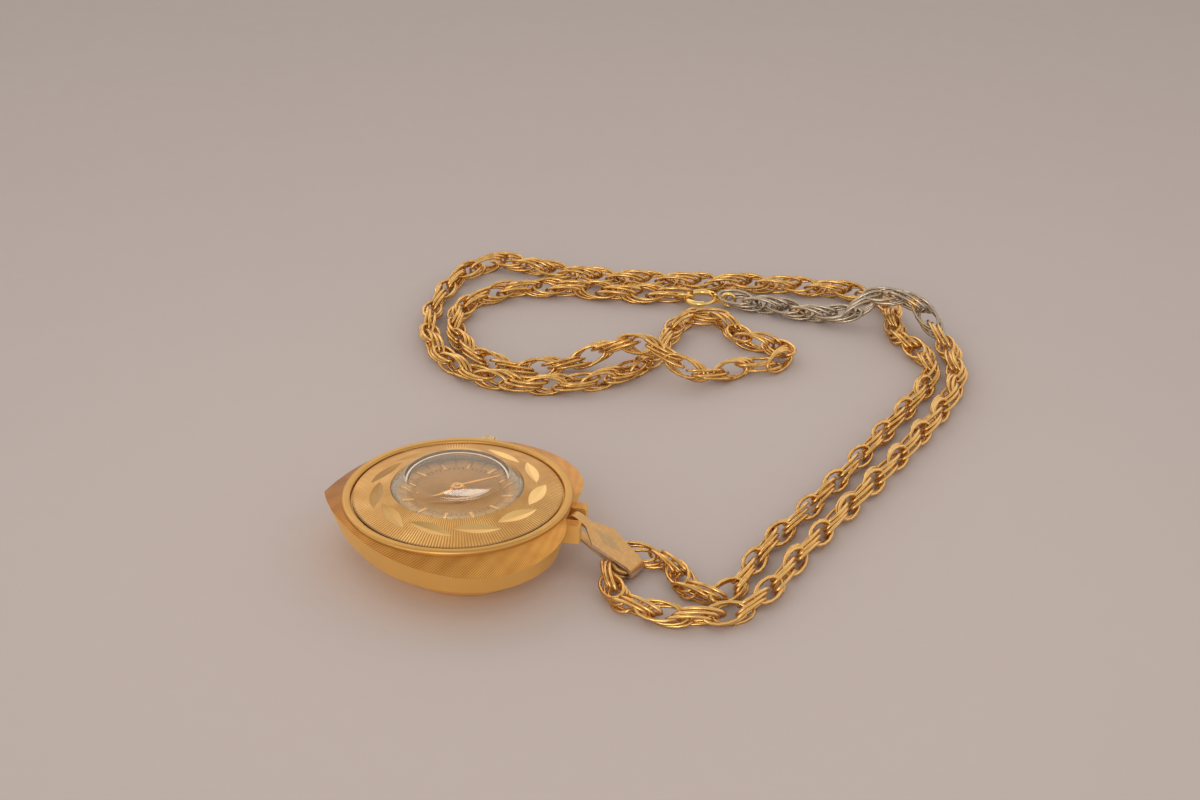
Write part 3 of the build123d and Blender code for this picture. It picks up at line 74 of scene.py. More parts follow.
class Nodes:
    """A node tree under construction, with a few short ways to add nodes and join them."""

    def __init__(self, tree):
        self.tree = tree

    def add(self, kind, **settings):
        node = self.tree.nodes.new(kind)
        for key, value in settings.items():
            setattr(node, key, value)
        return node

    def feed(self, socket, value):
        """Joins another node's output to a socket, or sets the socket to a plain value."""
        if hasattr(value, "is_output"):
            self.tree.links.new(value, socket)
        else:
            socket.default_value = value

    def feed_all(self, node, values):
        """Feeds a node's first sockets in their order."""
        for socket, value in zip(node.inputs, values):
            self.feed(socket, value)
        return node.outputs[0]

    def calc(self, operation, *values):
        return self.feed_all(self.add("ShaderNodeMath", operation=operation), values)

    def combine(self, x, y, z):
        return self.feed_all(self.add("ShaderNodeCombineXYZ"), (x, y, z))

    def clamp_range(self, value, low, high, to_low=0.0, to_high=1.0):
        """The value's place between low and high, carried over to another range and kept inside it."""
        return self.feed_all(self.add("ShaderNodeMapRange", clamp=True), (value, low, high, to_low, to_high))


class Finish(Nodes):
    """One material under construction: its nodes and its shader."""

    def __init__(self, name):
        self.material = bpy.data.materials.new(name)
        self.material.use_nodes = True
        super().__init__(self.material.node_tree)
        self.shader = self.tree.nodes["Principled BSDF"]
        self.place = self.add("ShaderNodeTexCoord")

    def noise(self, scale, detail=3.0, stretch=(1, 1, 1)):
        """Noise on the piece's own coordinates, drawn out by unequal stretches."""
        mapping = self.add("ShaderNodeMapping")
        self.feed(mapping.inputs["Vector"], self.place.outputs["Object"])
        mapping.inputs["Scale"].default_value = stretch
        node = self.add("ShaderNodeTexNoise")
        self.feed(node.inputs["Vector"], mapping.outputs[0])
        node.inputs["Scale"].default_value = scale
        node.inputs["Detail"].default_value = detail
        node.inputs["Roughness"].default_value = NOISE_ROUGHNESS
        return node.outputs["Fac"]

    def uneven(self, scale, detail, low, high):
        """Noise brought between two values."""
        return self.clamp_range(self.noise(scale, detail), *NOISE_RANGE, low, high)

    def split(self, which="Object"):
        """X, Y and Z of the piece's own coordinates, or of its normal."""
        node = self.add("ShaderNodeSeparateXYZ")
        self.feed(node.inputs[0], self.place.outputs[which])
        return node.outputs[0], node.outputs[1], node.outputs[2]

    def blend(self, share, first, second):
        """Colour between two others, each a colour or another node's output."""
        node = self.add("ShaderNodeMix", data_type="RGBA")
        self.feed(node.inputs["Factor"], share)
        for socket, value in zip((node.inputs[6], node.inputs[7]), (first, second)):
            self.feed(socket, value if hasattr(value, "is_output") else (*value, 1.0))
        return node.outputs[2]

    def colour(self, value):
        self.feed(self.shader.inputs["Base Color"], value)

    def metal(self, share=1.0):
        self.shader.inputs["Metallic"].default_value = share

    def roughness(self, value):
        self.feed(self.shader.inputs["Roughness"], value)

    def relief(self, height, depth):
        """Bump of the stated depth in millimetres."""
        node = self.add("ShaderNodeBump")
        node.inputs["Strength"].default_value = 1.0
        node.inputs["Distance"].default_value = depth * MM
        self.feed(node.inputs["Height"], height)
        self.feed(self.shader.inputs["Normal"], node.outputs[0])


# ---------------------------------------------------------------- chain, laid first

CHAIN_Z = 1.22
HUMP_SIDE_Z = 2.4
HUMP_Z = 4.1


def laid(*places):
    """Points of a route in millimetres, at the chain's own height where none is given."""
    return [place if len(place) == 3 else (*place, CHAIN_Z) for place in places]


long_side_points = laid(
    (0.3, 19.6), (0.6, 21.9), (2.7, 23.7), (5.2, 24.9), (6.8, 26.9), (6.0, 29.2), (3.2, 30.4),
    (-0.6, 31.1), (-5.6, 32.6), (-12.2, 35.4), (-22.4, 39.2), (-34.0, 43.0), (-42.6, 45.9),
    (-47.6, 46.6), (-51.6, 45.4), (-54.6, 43.0), (-58.0, 41.2), (-62.2, 40.9), (-65.6, 40.0),
    (-67.6, 37.2), (-68.4, 33.2), (-68.7, 26.6), (-68.2, 19.4), (-67.2, 12.6), (-66.6, 5.6),
    (-66.8, -0.6), (-68.2, -6.0), (-69.7, -10.2), (-67.4, -13.7), (-63.2, -15.4), (-58.2, -16.1),
    (-53.0, -16.2), (-48.0, -15.5), (-43.7, -13.7), (-39.9, -11.0), (-37.1, -7.7), (-35.7, -3.6),
    (-35.4, 0.8), (-36.6, 5.2), (-38.8, 9.2), (-42.6, 12.2), (-47.2, 13.8), (-50.4, 14.3), (-53.4, 14.4),
    (-56.4, 15.6), (-57.9, 18.2), (-56.4, 20.7), (-53.6, 22.0), (-51.6, 24.4), (-51.0, 27.2),
    (-48.9, 29.2), (-46.3, 27.9), (-45.2, 25.2), (-43.6, 22.8), (-41.6, 20.6),
    (-40.6, 17.8, HUMP_SIDE_Z), (-41.6, 14.9, HUMP_Z), (-43.2, 10.6, HUMP_Z), (-43.3, 7.2, HUMP_SIDE_Z),
    (-41.8, 3.8), (-39.6, 0.2), (-39.4, -3.8), (-41.2, -7.4), (-44.0, -9.9), (-47.4, -11.8),
    (-51.2, -12.8), (-55.2, -12.4), (-58.6, -10.6), (-61.0, -7.6), (-62.4, -3.6), (-62.8, 1.6),
    (-62.4, 7.4), (-63.0, 12.4),
)
short_side_points = laid(
    (-63.0, 21.6), (-62.3, 25.2), (-61.2, 29.4), (-60.6, 33.2), (-60.7, 36.4, HUMP_SIDE_Z),
    (-61.7, 39.1, HUMP_Z), (-61.3, 42.9, HUMP_Z), (-59.0, 45.6, HUMP_SIDE_Z), (-55.4, 47.5),
    (-50.6, 49.2), (-45.6, 49.7), (-40.2, 48.8), (-31.6, 46.2), (-20.4, 42.2), (-9.6, 38.1),
    (-2.6, 35.5), (3.6, 33.8), (8.0, 31.8), (10.4, 29.0), (11.0, 25.8), (10.8, 22.6), (9.6, 19.6),
    (7.5, 17.7), (4.9, 17.1),
)


SPLINE_STEPS = 10
SPLINE_ORDER = 3


def chain_line(name, places):
    """The line that a length of chain lies along, read from a smooth spline over its laid points."""
    curve = bpy.data.curves.new(name, "CURVE")
    curve.dimensions = "3D"
    curve.resolution_u = SPLINE_STEPS
    spline = curve.splines.new("NURBS")
    spline.points.add(len(places) - 1)
    for point, place in zip(spline.points, places):
        point.co = (*[part * MM for part in place], 1.0)
    spline.order_u = SPLINE_ORDER
    spline.use_endpoint_u = True
    line = bpy.data.objects.new(name, curve)
    SHEET.objects.link(line)
    bpy.context.view_layer.update()
    mesh = bpy.data.meshes.new_from_object(line)
    bpy.data.objects.remove(line)
    return mesh


OVAL_SIDES = 14
WIRE_SIDES = 6
UNEVEN_SHARE = 0.6
GROUP_SIDES = (-1, 0, 1)
LINK_SIZES = {
    "Pitch": 3.2 * MM,
    "Link length": 5.0 * MM,
    "Link width": 2.6 * MM,
    "Wire radius": 0.2 * MM,
    "Link gap": 0.43 * MM,
    "Link step": 0.65 * MM,
    "Twist": math.radians(1.1),
    "Lean": math.radians(8),
}


def oval_link(rule, given):
    """One oval link of wire, standing along Z and facing Y."""
    oval = rule.add("GeometryNodeCurvePrimitiveCircle")
    oval.inputs["Resolution"].default_value = OVAL_SIDES
    oval.inputs["Radius"].default_value = 1.0
    wire = rule.calc("MULTIPLY", given["Wire radius"], 2.0)
    half_width = rule.calc("MULTIPLY", rule.calc("SUBTRACT", given["Link width"], wire), 0.5)
    half_length = rule.calc("MULTIPLY", rule.calc("SUBTRACT", given["Link length"], wire), 0.5)
    sized = rule.add("GeometryNodeTransform")
    rule.feed(sized.inputs["Geometry"], oval.outputs[0])
    rule.feed(sized.inputs["Scale"], rule.combine(half_width, half_length, 1.0))
    stood = rule.add("GeometryNodeTransform")
    rule.feed(stood.inputs["Geometry"], sized.outputs[0])
    stood.inputs["Rotation"].default_value = (math.radians(90), 0, 0)
    section = rule.add("GeometryNodeCurvePrimitiveCircle")
    section.inputs["Resolution"].default_value = WIRE_SIDES
    rule.feed(section.inputs["Radius"], given["Wire radius"])
    link = rule.add("GeometryNodeCurveToMesh")
    rule.feed(link.inputs["Curve"], stood.outputs[0])
    rule.feed(link.inputs["Profile Curve"], section.outputs[0])
    return link.outputs[0]


def jitter(rule, amount, seed):
    """A random value for each group of links, up to the amount to either side of 0."""
    node = rule.add("FunctionNodeRandomValue", data_type="FLOAT")
    pins = {socket.name: socket for socket in node.inputs if socket.enabled}
    rule.feed(pins["Min"], rule.calc("MULTIPLY", amount, -1.0))
    rule.feed(pins["Max"], amount)
    rule.feed(pins["Seed"], seed)
    return [socket for socket in node.outputs if socket.enabled][0]


def link_rule():
    """Geometry Nodes rule: groups of three oval links along a line, each a quarter turn on from the last."""
    tree = bpy.data.node_groups.new("double_cable_links", "GeometryNodeTree")
    face = tree.interface
    face.new_socket("Geometry", in_out="INPUT", socket_type="NodeSocketGeometry")
    for label in (*LINK_SIZES, "First roll"):
        face.new_socket(label, in_out="INPUT", socket_type="NodeSocketFloat")
    face.new_socket("Seed", in_out="INPUT", socket_type="NodeSocketInt")
    face.new_socket("Finish", in_out="INPUT", socket_type="NodeSocketMaterial")
    face.new_socket("Geometry", in_out="OUTPUT", socket_type="NodeSocketGeometry")

    rule = Nodes(tree)
    given = rule.add("NodeGroupInput").outputs
    along = rule.add("GeometryNodeMeshToCurve")
    rule.feed(along.inputs[0], given["Geometry"])
    upright = rule.add("GeometryNodeSetCurveNormal", mode="Z_UP")
    rule.feed(upright.inputs["Curve"], along.outputs[0])
    stations = rule.add("GeometryNodeCurveToPoints", mode="LENGTH")
    rule.feed(stations.inputs["Curve"], upright.outputs[0])
    rule.feed(stations.inputs["Length"], given["Pitch"])

    link = oval_link(rule, given)
    group = rule.add("GeometryNodeInputIndex").outputs[0]
    quarter = rule.calc("MULTIPLY", rule.calc("MODULO", group, 2.0), math.radians(90))
    twisted = rule.calc("ADD", given["First roll"], rule.calc("MULTIPLY", group, given["Twist"]))
    half_lean = rule.calc("MULTIPLY", given["Lean"], 0.5)
    unevenness = rule.calc("MULTIPLY", given["Wire radius"], UNEVEN_SHARE)
    together = rule.add("GeometryNodeJoinGeometry")
    for side in GROUP_SIDES:
        seeds = [rule.calc("ADD", given["Seed"], salt + 10 * (side + 1)) for salt in (1, 2, 3, 4)]
        roll = rule.calc("ADD", rule.calc("ADD", quarter, twisted), jitter(rule, given["Lean"], seeds[0]))
        tilts = [jitter(rule, half_lean, seed) for seed in seeds[1:3]]
        as_rotation = rule.add("FunctionNodeEulerToRotation")
        rule.feed(as_rotation.inputs[0], rule.combine(*tilts, roll))
        turned = rule.add("FunctionNodeRotateRotation", rotation_space="LOCAL")
        rule.feed(turned.inputs[0], stations.outputs["Rotation"])
        rule.feed(turned.inputs[1], as_rotation.outputs[0])
        placed = rule.add("GeometryNodeInstanceOnPoints")
        rule.feed(placed.inputs["Points"], stations.outputs["Points"])
        rule.feed(placed.inputs["Instance"], link)
        rule.feed(placed.inputs["Rotation"], turned.outputs[0])
        sideways = rule.calc("MULTIPLY", given["Link gap"], side)
        onward = rule.calc("MULTIPLY", given["Link step"], side)
        onward = rule.calc("ADD", onward, jitter(rule, unevenness, seeds[3]))
        moved = rule.add("GeometryNodeTranslateInstances")
        rule.feed(moved.inputs["Instances"], placed.outputs[0])
        rule.feed(moved.inputs["Translation"], rule.combine(0.0, sideways, onward))
        rule.feed(together.inputs[0], moved.outputs[0])

    real = rule.add("GeometryNodeRealizeInstances")
    rule.feed(real.inputs[0], together.outputs[0])
    smooth = rule.add("GeometryNodeSetShadeSmooth")
    rule.feed(smooth.inputs[0], real.outputs[0])
    finish = rule.add("GeometryNodeSetMaterial")
    rule.feed(finish.inputs["Geometry"], smooth.outputs[0])
    rule.feed(finish.inputs["Material"], given["Finish"])
    out = rule.add("NodeGroupOutput")
    rule.feed(out.inputs[0], finish.outputs[0])
    return tree


def turn_to_mesh(piece, tree, values):
    """Runs a rule on a piece and leaves plain mesh, with no modifier."""
    rule = piece.modifiers.new("rule", "NODES")
    rule.node_group = tree
    for socket in tree.interface.items_tree:
        if socket.in_out == "INPUT" and socket.name in values:
            rule[socket.identifier] = values[socket.name]
    bpy.context.view_layer.update()
    settled = piece.evaluated_get(bpy.context.evaluated_depsgraph_get())
    mesh = bpy.data.meshes.new_from_object(settled)
    piece.modifiers.clear()
    piece.data = mesh
    return piece


def chain_gold_finish():
    """Gold plate on fine wire: bright on the rounds, browner where the wires touch."""
    gold = Finish("plated_chain_gold")
    patches = gold.clamp_range(gold.noise(900, 4), 0.35, 0.65)
    gold.colour(gold.blend(patches, (0.64, 0.355, 0.10), (0.93, 0.58, 0.20)))
    gold.metal()
    gold.roughness(gold.uneven(2600, 2, 0.16, 0.34))
    gold.relief(gold.noise(3200, 3), 0.01)
    return gold.material


GOLD_AGAIN_X = (-59 * MM, -55 * MM)


def chain_silver_finish():
    """Plate worn through to grey metal by the clasp, gold beyond the corner."""
    worn = Finish("worn_chain_plate")
    x = worn.split()[0]
    patchy = worn.calc("ADD", x, worn.uneven(260, 3, -6 * MM, 6 * MM))
    gilded = worn.clamp_range(patchy, *GOLD_AGAIN_X)
    silver = worn.blend(worn.noise(1500, 3), (0.40, 0.32, 0.23), (0.66, 0.55, 0.42))
    gold = worn.blend(worn.noise(900, 3), (0.72, 0.42, 0.13), (0.95, 0.61, 0.23))
    worn.colour(worn.blend(gilded, silver, gold))
    worn.metal()
    worn.roughness(worn.uneven(2600, 2, 0.2, 0.4))
    worn.relief(worn.noise(3200, 3), 0.01)
    return worn.material


def lay_chain(name, places, node, finish, first_roll, seed, rule):
    """Links of one length of chain, in place of the tube that stands for it."""
    line = chain_line(name + "_line", places)
    path = [tuple(vertex.co) for vertex in line.vertices]
    piece = bpy.data.objects.new(name, line)
    SHEET.objects.link(piece)
    values = {"First roll": math.radians(first_roll), "Seed": seed, "Finish": finish}
    turn_to_mesh(piece, rule, {**LINK_SIZES, **values})
    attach(piece, "necklace")
    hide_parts(node)
    return piece, path


links = link_rule()
chain_gold = chain_gold_finish()
chain_silver = chain_silver_finish()
long_side, long_path = lay_chain(
    "long_side_links", long_side_points, "chain_long_side", chain_gold, 25, 3, links)
short_side, short_path = lay_chain(
    "short_side_links", short_side_points, "chain_short_side", chain_silver, 20, 11, links)

# ---------------------------------------------------------------- case metals


def ring_angle(finish, middle_y=0.0):
    """Angle round an upright axis on the part's centre line and distance from it, in radians and metres."""
    x, y, _ = finish.split()
    if middle_y:
        y = finish.calc("SUBTRACT", y, middle_y)
    angle = finish.calc("ARCTAN2", y, x)
    radius = finish.calc("SQRT", finish.calc("ADD", finish.calc("MULTIPLY", x, x), finish.calc("MULTIPLY", y, y)))
    return angle, radius


def rays(finish, count, waver=0.0, scale=60, middle_y=0.0):
    """Lines that radiate from an upright axis, 0 in their valleys and 1 on their crests."""
    angle, _ = ring_angle(finish, middle_y)
    turned = finish.calc("MULTIPLY", angle, count)
    if waver:
        turned = finish.calc("ADD", turned, finish.calc("MULTIPLY", finish.noise(scale, 2), waver))
    return finish.calc("MULTIPLY_ADD", finish.calc("SINE", turned), 0.5, 0.5)


CLEFT_Y = 12.0 * MM
# brushed lines in a full turn round the cleft
CASE_LINES = 440
CASE_BROAD_LINES = 53
BROAD_SHARE = 0.14
CASE_SHADE_Y = (-13 * MM, 10 * MM)
# radians of the turning marks' wave for each metre outward
BEAD_MARKS = 90000.0


def case_gold_finish():
    """Satin polished sides and back, and a top brushed in fine lines that spread from the heart's cleft, with
    painted shade darkening the top towards the tip.
    """
    gold = Finish("case_yellow_gold")
    up = gold.split("Normal")[2]
    brushed = gold.clamp_range(up, 0.55, 0.8)
    lines = rays(gold, CASE_LINES, 1.5, 90, CLEFT_Y)
    broad = rays(gold, CASE_BROAD_LINES, 5.0, 40, CLEFT_Y)
    lit = gold.calc("MULTIPLY", lines, gold.clamp_range(gold.noise(420, 3), 0.3, 0.65, 0.45, 1.0))
    lit = gold.calc("MULTIPLY_ADD", broad, BROAD_SHARE, gold.calc("MULTIPLY", lit, 1 - BROAD_SHARE))
    # Painted shade and light: the top's colour runs from a dark shaded tone at the tip to a bright lit tone
    # towards the cleft.
    from_tip = gold.clamp_range(gold.split()[1], *CASE_SHADE_Y)
    worn = gold.blend(from_tip, (0.27, 0.098, 0.018), (0.60, 0.245, 0.050))
    painted_lit_top = gold.blend(from_tip, (0.55, 0.245, 0.056), (1.0, 0.56, 0.15))
    top = gold.blend(lit, worn, painted_lit_top)
    side = gold.blend(gold.noise(90, 2), (0.97, 0.60, 0.18), (1.0, 0.66, 0.215))
    gold.colour(gold.blend(brushed, side, top))
    gold.metal()
    polish = gold.uneven(200, 2, 0.48, 0.56)
    gold.roughness(gold.clamp_range(brushed, 0.0, 1.0, polish, 0.42))
    gold.relief(gold.calc("MULTIPLY", lines, brushed), 0.014)
    return gold.material


def bezel_finish():
    """Rounded bead round the dish, satin, with fine turning marks."""
    gold = Finish("bezel_bead_gold")
    _, radius = ring_angle(gold)
    marks = gold.calc("SINE", gold.calc("MULTIPLY", radius, BEAD_MARKS))
    gold.colour(gold.blend(gold.noise(160, 3), (0.58, 0.31, 0.085), (0.70, 0.395, 0.115)))
    gold.metal()
    gold.roughness(gold.uneven(500, 3, 0.38, 0.46))
    gold.relief(marks, 0.0006)
    return gold.material


# the dish's cone: its height on the axis, and what it gains for each metre outward
DISH_TOP = 0.009224375
DISH_SLOPE = -0.2625
DISH_RIDGES = 216
DISH_SECTORS = 9
DISH_SHADE_Y = (-10 * MM, 3 * MM)
LEAF_DEPTH = (0.007 * MM, 0.012 * MM)
GROOVE_RADIUS = (10.74 * MM, 10.82 * MM)
GROOVE_FRONT_X = (1 * MM, 8 * MM)


def dish_finish():
    """Dish cut in sharp ridges round the glass, with bright leaf cuts across them. The cuts carry painted shade,
    darker towards the tip, and painted shade darkens the groove by the bead on the front side.
    """
    gold = Finish("ridged_dish_gold")
    x, y, z = gold.split()
    _, radius = ring_angle(gold)
    surface = gold.calc("MULTIPLY_ADD", radius, DISH_SLOPE, DISH_TOP)
    sunk = gold.calc("SUBTRACT", surface, z)
    leaf = gold.clamp_range(sunk, *LEAF_DEPTH)
    ridges = rays(gold, DISH_RIDGES, 2.0, 150)
    sharp = gold.clamp_range(ridges, 0.15, 0.85)
    broken = gold.calc("MULTIPLY", sharp, gold.uneven(500, 3, 0.4, 1.0))
    sector = gold.clamp_range(rays(gold, DISH_SECTORS, 7.0, 60), 0.0, 1.0, 0.6, 1.0)
    lit = gold.calc("MULTIPLY", broken, sector)
    field = gold.blend(lit, (0.56, 0.27, 0.07), (1.0, 0.64, 0.24))
    # Painted shade on the leaf cuts: darker towards the tip, brighter towards the cleft.
    from_tip = gold.clamp_range(y, *DISH_SHADE_Y)
    shaded_cut_colour = gold.blend(from_tip, (0.27, 0.13, 0.034), (0.88, 0.55, 0.20))
    lit_cut_colour = gold.blend(from_tip, (0.40, 0.205, 0.055), (1.0, 0.67, 0.27))
    cut = gold.blend(gold.noise(300, 2), shaded_cut_colour, lit_cut_colour)
    # Painted shade: a dark line along the groove by the bead, on the front side, broken into patches.
    groove = gold.clamp_range(radius, *GROOVE_RADIUS)
    front = gold.clamp_range(x, *GROOVE_FRONT_X, 0.1, 0.85)
    patchy = gold.clamp_range(gold.noise(120, 2), 0.35, 0.6, 0.6, 1.0)
    painted_groove_shade = gold.calc("MULTIPLY", groove, gold.calc("MULTIPLY", front, patchy))
    gold.colour(gold.blend(painted_groove_shade, gold.blend(leaf, field, cut), (0.16, 0.115, 0.065)))
    gold.metal()
    satin = gold.uneven(700, 2, 0.34, 0.44)
    gold.roughness(gold.clamp_range(leaf, 0.0, 1.0, satin, 0.33))
    gold.relief(gold.calc("MULTIPLY", ridges, gold.calc("SUBTRACT", 1.0, leaf)), 0.03)
    return gold.material


def dress(nodes, finish):
    """Gives CAD nodes their finish through their material slots."""
    for name in nodes:
        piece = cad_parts[name]
        if not piece.material_slots:
            piece.data.materials.append(finish)
        for slot in piece.material_slots:
            slot.material = finish


dress(("case_body", "case_back", "case_tube", "lug_bar"), case_gold_finish())
dress(("bezel_ring",), bezel_finish())
dress(("bezel_dish",), dish_finish())

# ---------------------------------------------------------------- glass and dial

CRYSTAL_IOR = 1.49
CRYSTAL_RIM = (5.4 * MM, 6.0 * MM)
CRYSTAL_FOOT = (6.1 * MM, 6.7 * MM)


def crystal_finish():
    """Domed clear plastic with a faintly milky, scuffed rim."""
    clear = Finish("domed_clear_crystal")
    clear.shader.inputs["Base Color"].default_value = (0.95, 0.80, 0.58, 1.0)
    clear.shader.inputs["IOR"].default_value = CRYSTAL_IOR
    scuffs = clear.noise(700, 5, (1, 3, 1))
    _, radius = ring_angle(clear)
    rim = clear.clamp_range(radius, *CRYSTAL_RIM)
    foot = clear.clamp_range(radius, *CRYSTAL_FOOT, 0.0, 0.12)
    haze = clear.calc("ADD", foot, clear.uneven(300, 3, 0.05, 0.13))
    clearness = clear.calc("SUBTRACT", 1.0, clear.calc("MULTIPLY", rim, haze))
    clear.feed(clear.shader.inputs["Transmission Weight"], clearness)
    scuffed = clear.clamp_range(scuffs, 0.45, 0.8, 0.015, 0.05)
    clear.roughness(clear.calc("ADD", scuffed, clear.calc("MULTIPLY", rim, 0.08)))
    clear.relief(clear.noise(1500, 3), 0.0008)
    return clear.material


def turned_piece(name, profile, around):
    """Closed piece turned round the hands' axis from a profile in millimetres that starts and ends on it."""
    places = [(0, 0, profile[0][1] * MM)]
    for step in range(around):
        angle = 2 * math.pi * step / around
        places += [(r * MM * math.cos(angle), r * MM * math.sin(angle), z * MM) for r, z in profile[1:-1]]
    places.append((0, 0, profile[-1][1] * MM))
    rings = len(profile) - 2
    faces = []
    for step in range(around):
        here, there = 1 + step * rings, 1 + (step + 1) % around * rings
        faces.append((0, here, there))
        faces += [(here + k, here + k + 1, there + k + 1, there + k) for k in range(rings - 1)]
        faces.append((here + rings - 1, len(places) - 1, there + rings - 1))
    mesh = bpy.data.meshes.new(name)
    mesh.from_pydata(places, [], faces)
    mesh.polygons.foreach_set("use_smooth", [True] * len(faces))
    piece = bpy.data.objects.new(name, mesh)
    SHEET.objects.link(piece)
    return piece


def arc_points(middle, radius, start, end, count):
    """Points along part of a circle in a profile, by angle in degrees."""
    angles = [math.radians(start + (end - start) * step / count) for step in range(count + 1)]
    return [(middle[0] + radius * math.cos(angle), middle[1] + radius * math.sin(angle)) for angle in angles]


def dome(top, edge, count):
    """Points of a shallow round dome from its top on the axis out to its edge."""
    rise = top[1] - edge[1]
    sphere = (edge[0] ** 2 + rise**2) / (2 * rise)
    full = math.asin(edge[0] / sphere)
    angles = [full * step / count for step in range(count + 1)]
    return [(sphere * math.sin(angle), top[1] - sphere * (1 - math.cos(angle))) for angle in angles]


# profile of the glass in millimetres: distance from the axis, and height
DOME_OUTSIDE = ((0, 8.85), (5.2, 8.62), 12)
DOME_INSIDE = ((0, 8.42), (4.85, 8.21), 9)
UPPER_TURN = ((5.38, 8.36), 0.26, 86, 50, 6)
LOWER_TURN = ((6.55, 7.24), 0.38, 46, 4, 6)
RIM_OUTSIDE = [(6.93, 7.0), (6.93, 6.74), (6.9, 6.72)]
RIM_INSIDE = [(6.53, 6.72), (6.51, 6.75), (6.51, 7.1)]
SHOULDER_INSIDE = [(6.40, 7.28), (5.35, 8.02), (5.15, 8.14), (4.95, 8.19)]
GLASS_SIDES = 96


def fit_crystal():
    """Domed glass with a straight rim, a sloping shoulder and softly rounded turns between them."""
    outside = dome(*DOME_OUTSIDE) + arc_points(*UPPER_TURN) + arc_points(*LOWER_TURN) + RIM_OUTSIDE
    inside = RIM_INSIDE + SHOULDER_INSIDE + dome(*DOME_INSIDE)[::-1]
    glass = turned_piece("domed_glass", outside + inside, GLASS_SIDES)
    glass.data.materials.append(crystal_finish())
    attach(glass, "watch_case")
    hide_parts("crystal")


def between(finish, value, rise, full, fall, end):
    """1 from full to fall, 0 before rise and after end."""
    rising = finish.clamp_range(value, rise, full)
    return finish.calc("MULTIPLY", rising, finish.clamp_range(value, fall, end, 1.0, 0.0))


DIAL_GRAIN = 380
BLOCK_RADIUS = (5.15 * MM, 5.2 * MM, 6.45 * MM, 6.5 * MM)
TRACK_RADIUS = (4.48 * MM, 4.5 * MM, 4.9 * MM, 4.92 * MM)
# distance from an hour's or a minute's mark, as a share of the space between two marks
BLOCK_SPREAD = (0.10, 0.115, 0.45, 0.465)
TICK_SPREAD = (0.08, 0.1)


def dial_finish():
    """Champagne dial with a radial grain, pale blocks between the hours and a fine minute track."""
    dial = Finish("champagne_dial")
    angle, radius = ring_angle(dial)
    grain = rays(dial, DIAL_GRAIN, 8.0, 200)
    field = dial.blend(dial.calc("MULTIPLY_ADD", grain, 0.5, dial.calc("MULTIPLY", dial.noise(400, 4), 0.5)),
                       (0.55, 0.34, 0.10), (0.84, 0.57, 0.22))
    turns = dial.calc("MULTIPLY_ADD", angle, 12 / (2 * math.pi), 12.5)
    hour_part = dial.calc("FRACT", turns)
    from_hour = dial.calc("ABSOLUTE", dial.calc("SUBTRACT", hour_part, 0.5))
    block_in = between(dial, from_hour, *BLOCK_SPREAD)
    band = between(dial, radius, *BLOCK_RADIUS)
    block = dial.calc("MULTIPLY", block_in, band)
    tinted = dial.blend(block, field, (0.90, 0.68, 0.32))
    minute_part = dial.calc("FRACT", dial.calc("MULTIPLY_ADD", angle, 60 / (2 * math.pi), 60.5))
    minutes = dial.calc("ABSOLUTE", dial.calc("SUBTRACT", minute_part, 0.5))
    track = between(dial, radius, *TRACK_RADIUS)
    tick = dial.calc("MULTIPLY", dial.clamp_range(minutes, *TICK_SPREAD, 1.0, 0.0), track)
    dial.colour(dial.blend(tick, tinted, (0.12, 0.07, 0.03)))
    dial.metal(0.55)
    dial.roughness(dial.uneven(900, 3, 0.38, 0.52))
    dial.relief(grain, 0.006)
    return dial.material


def polished_gold(name, low, high, scale, rough_low, rough_high):
    """Small polished gold part with a slight unevenness."""
    gold = Finish(name)
    gold.colour(gold.blend(gold.noise(scale, 3), low, high))
    gold.metal()
    gold.roughness(gold.uneven(scale * 2, 2, rough_low, rough_high))
    gold.relief(gold.noise(scale * 3, 3), 0.002)
    return gold.material


fit_crystal()
dress(("dial",), dial_finish())
dress(("hour_markers",), polished_gold("marker_bars", (0.95, 0.66, 0.25), (1.0, 0.78, 0.38), 900, 0.14, 0.26))
dress(("hour_hand", "minute_hand"),
      polished_gold("dial_hands", (0.93, 0.60, 0.2), (1.0, 0.74, 0.34), 900, 0.14, 0.26))
dress(("crown",),
      polished_gold("knurled_crown_gold", (0.50, 0.34, 0.17), (0.80, 0.58, 0.30), 700, 0.24, 0.38))
dress(("clasp_ring", "clasp_trigger", "clasp_jump_ring", "end_ring"),
      polished_gold("clasp_yellow_gold", (0.94, 0.60, 0.18), (1.0, 0.73, 0.30), 800, 0.16, 0.3))

# ---------------------------------------------------------------- hanging loop

BAIL_HINGE_Y = 12.55 * MM
BAIL_ALONG = (0.4067, 0.9135)
DIAMOND_ALONG = 4.1 * MM
DIAMOND_SHARE_PER_METRE = (560.0, 1000.0)


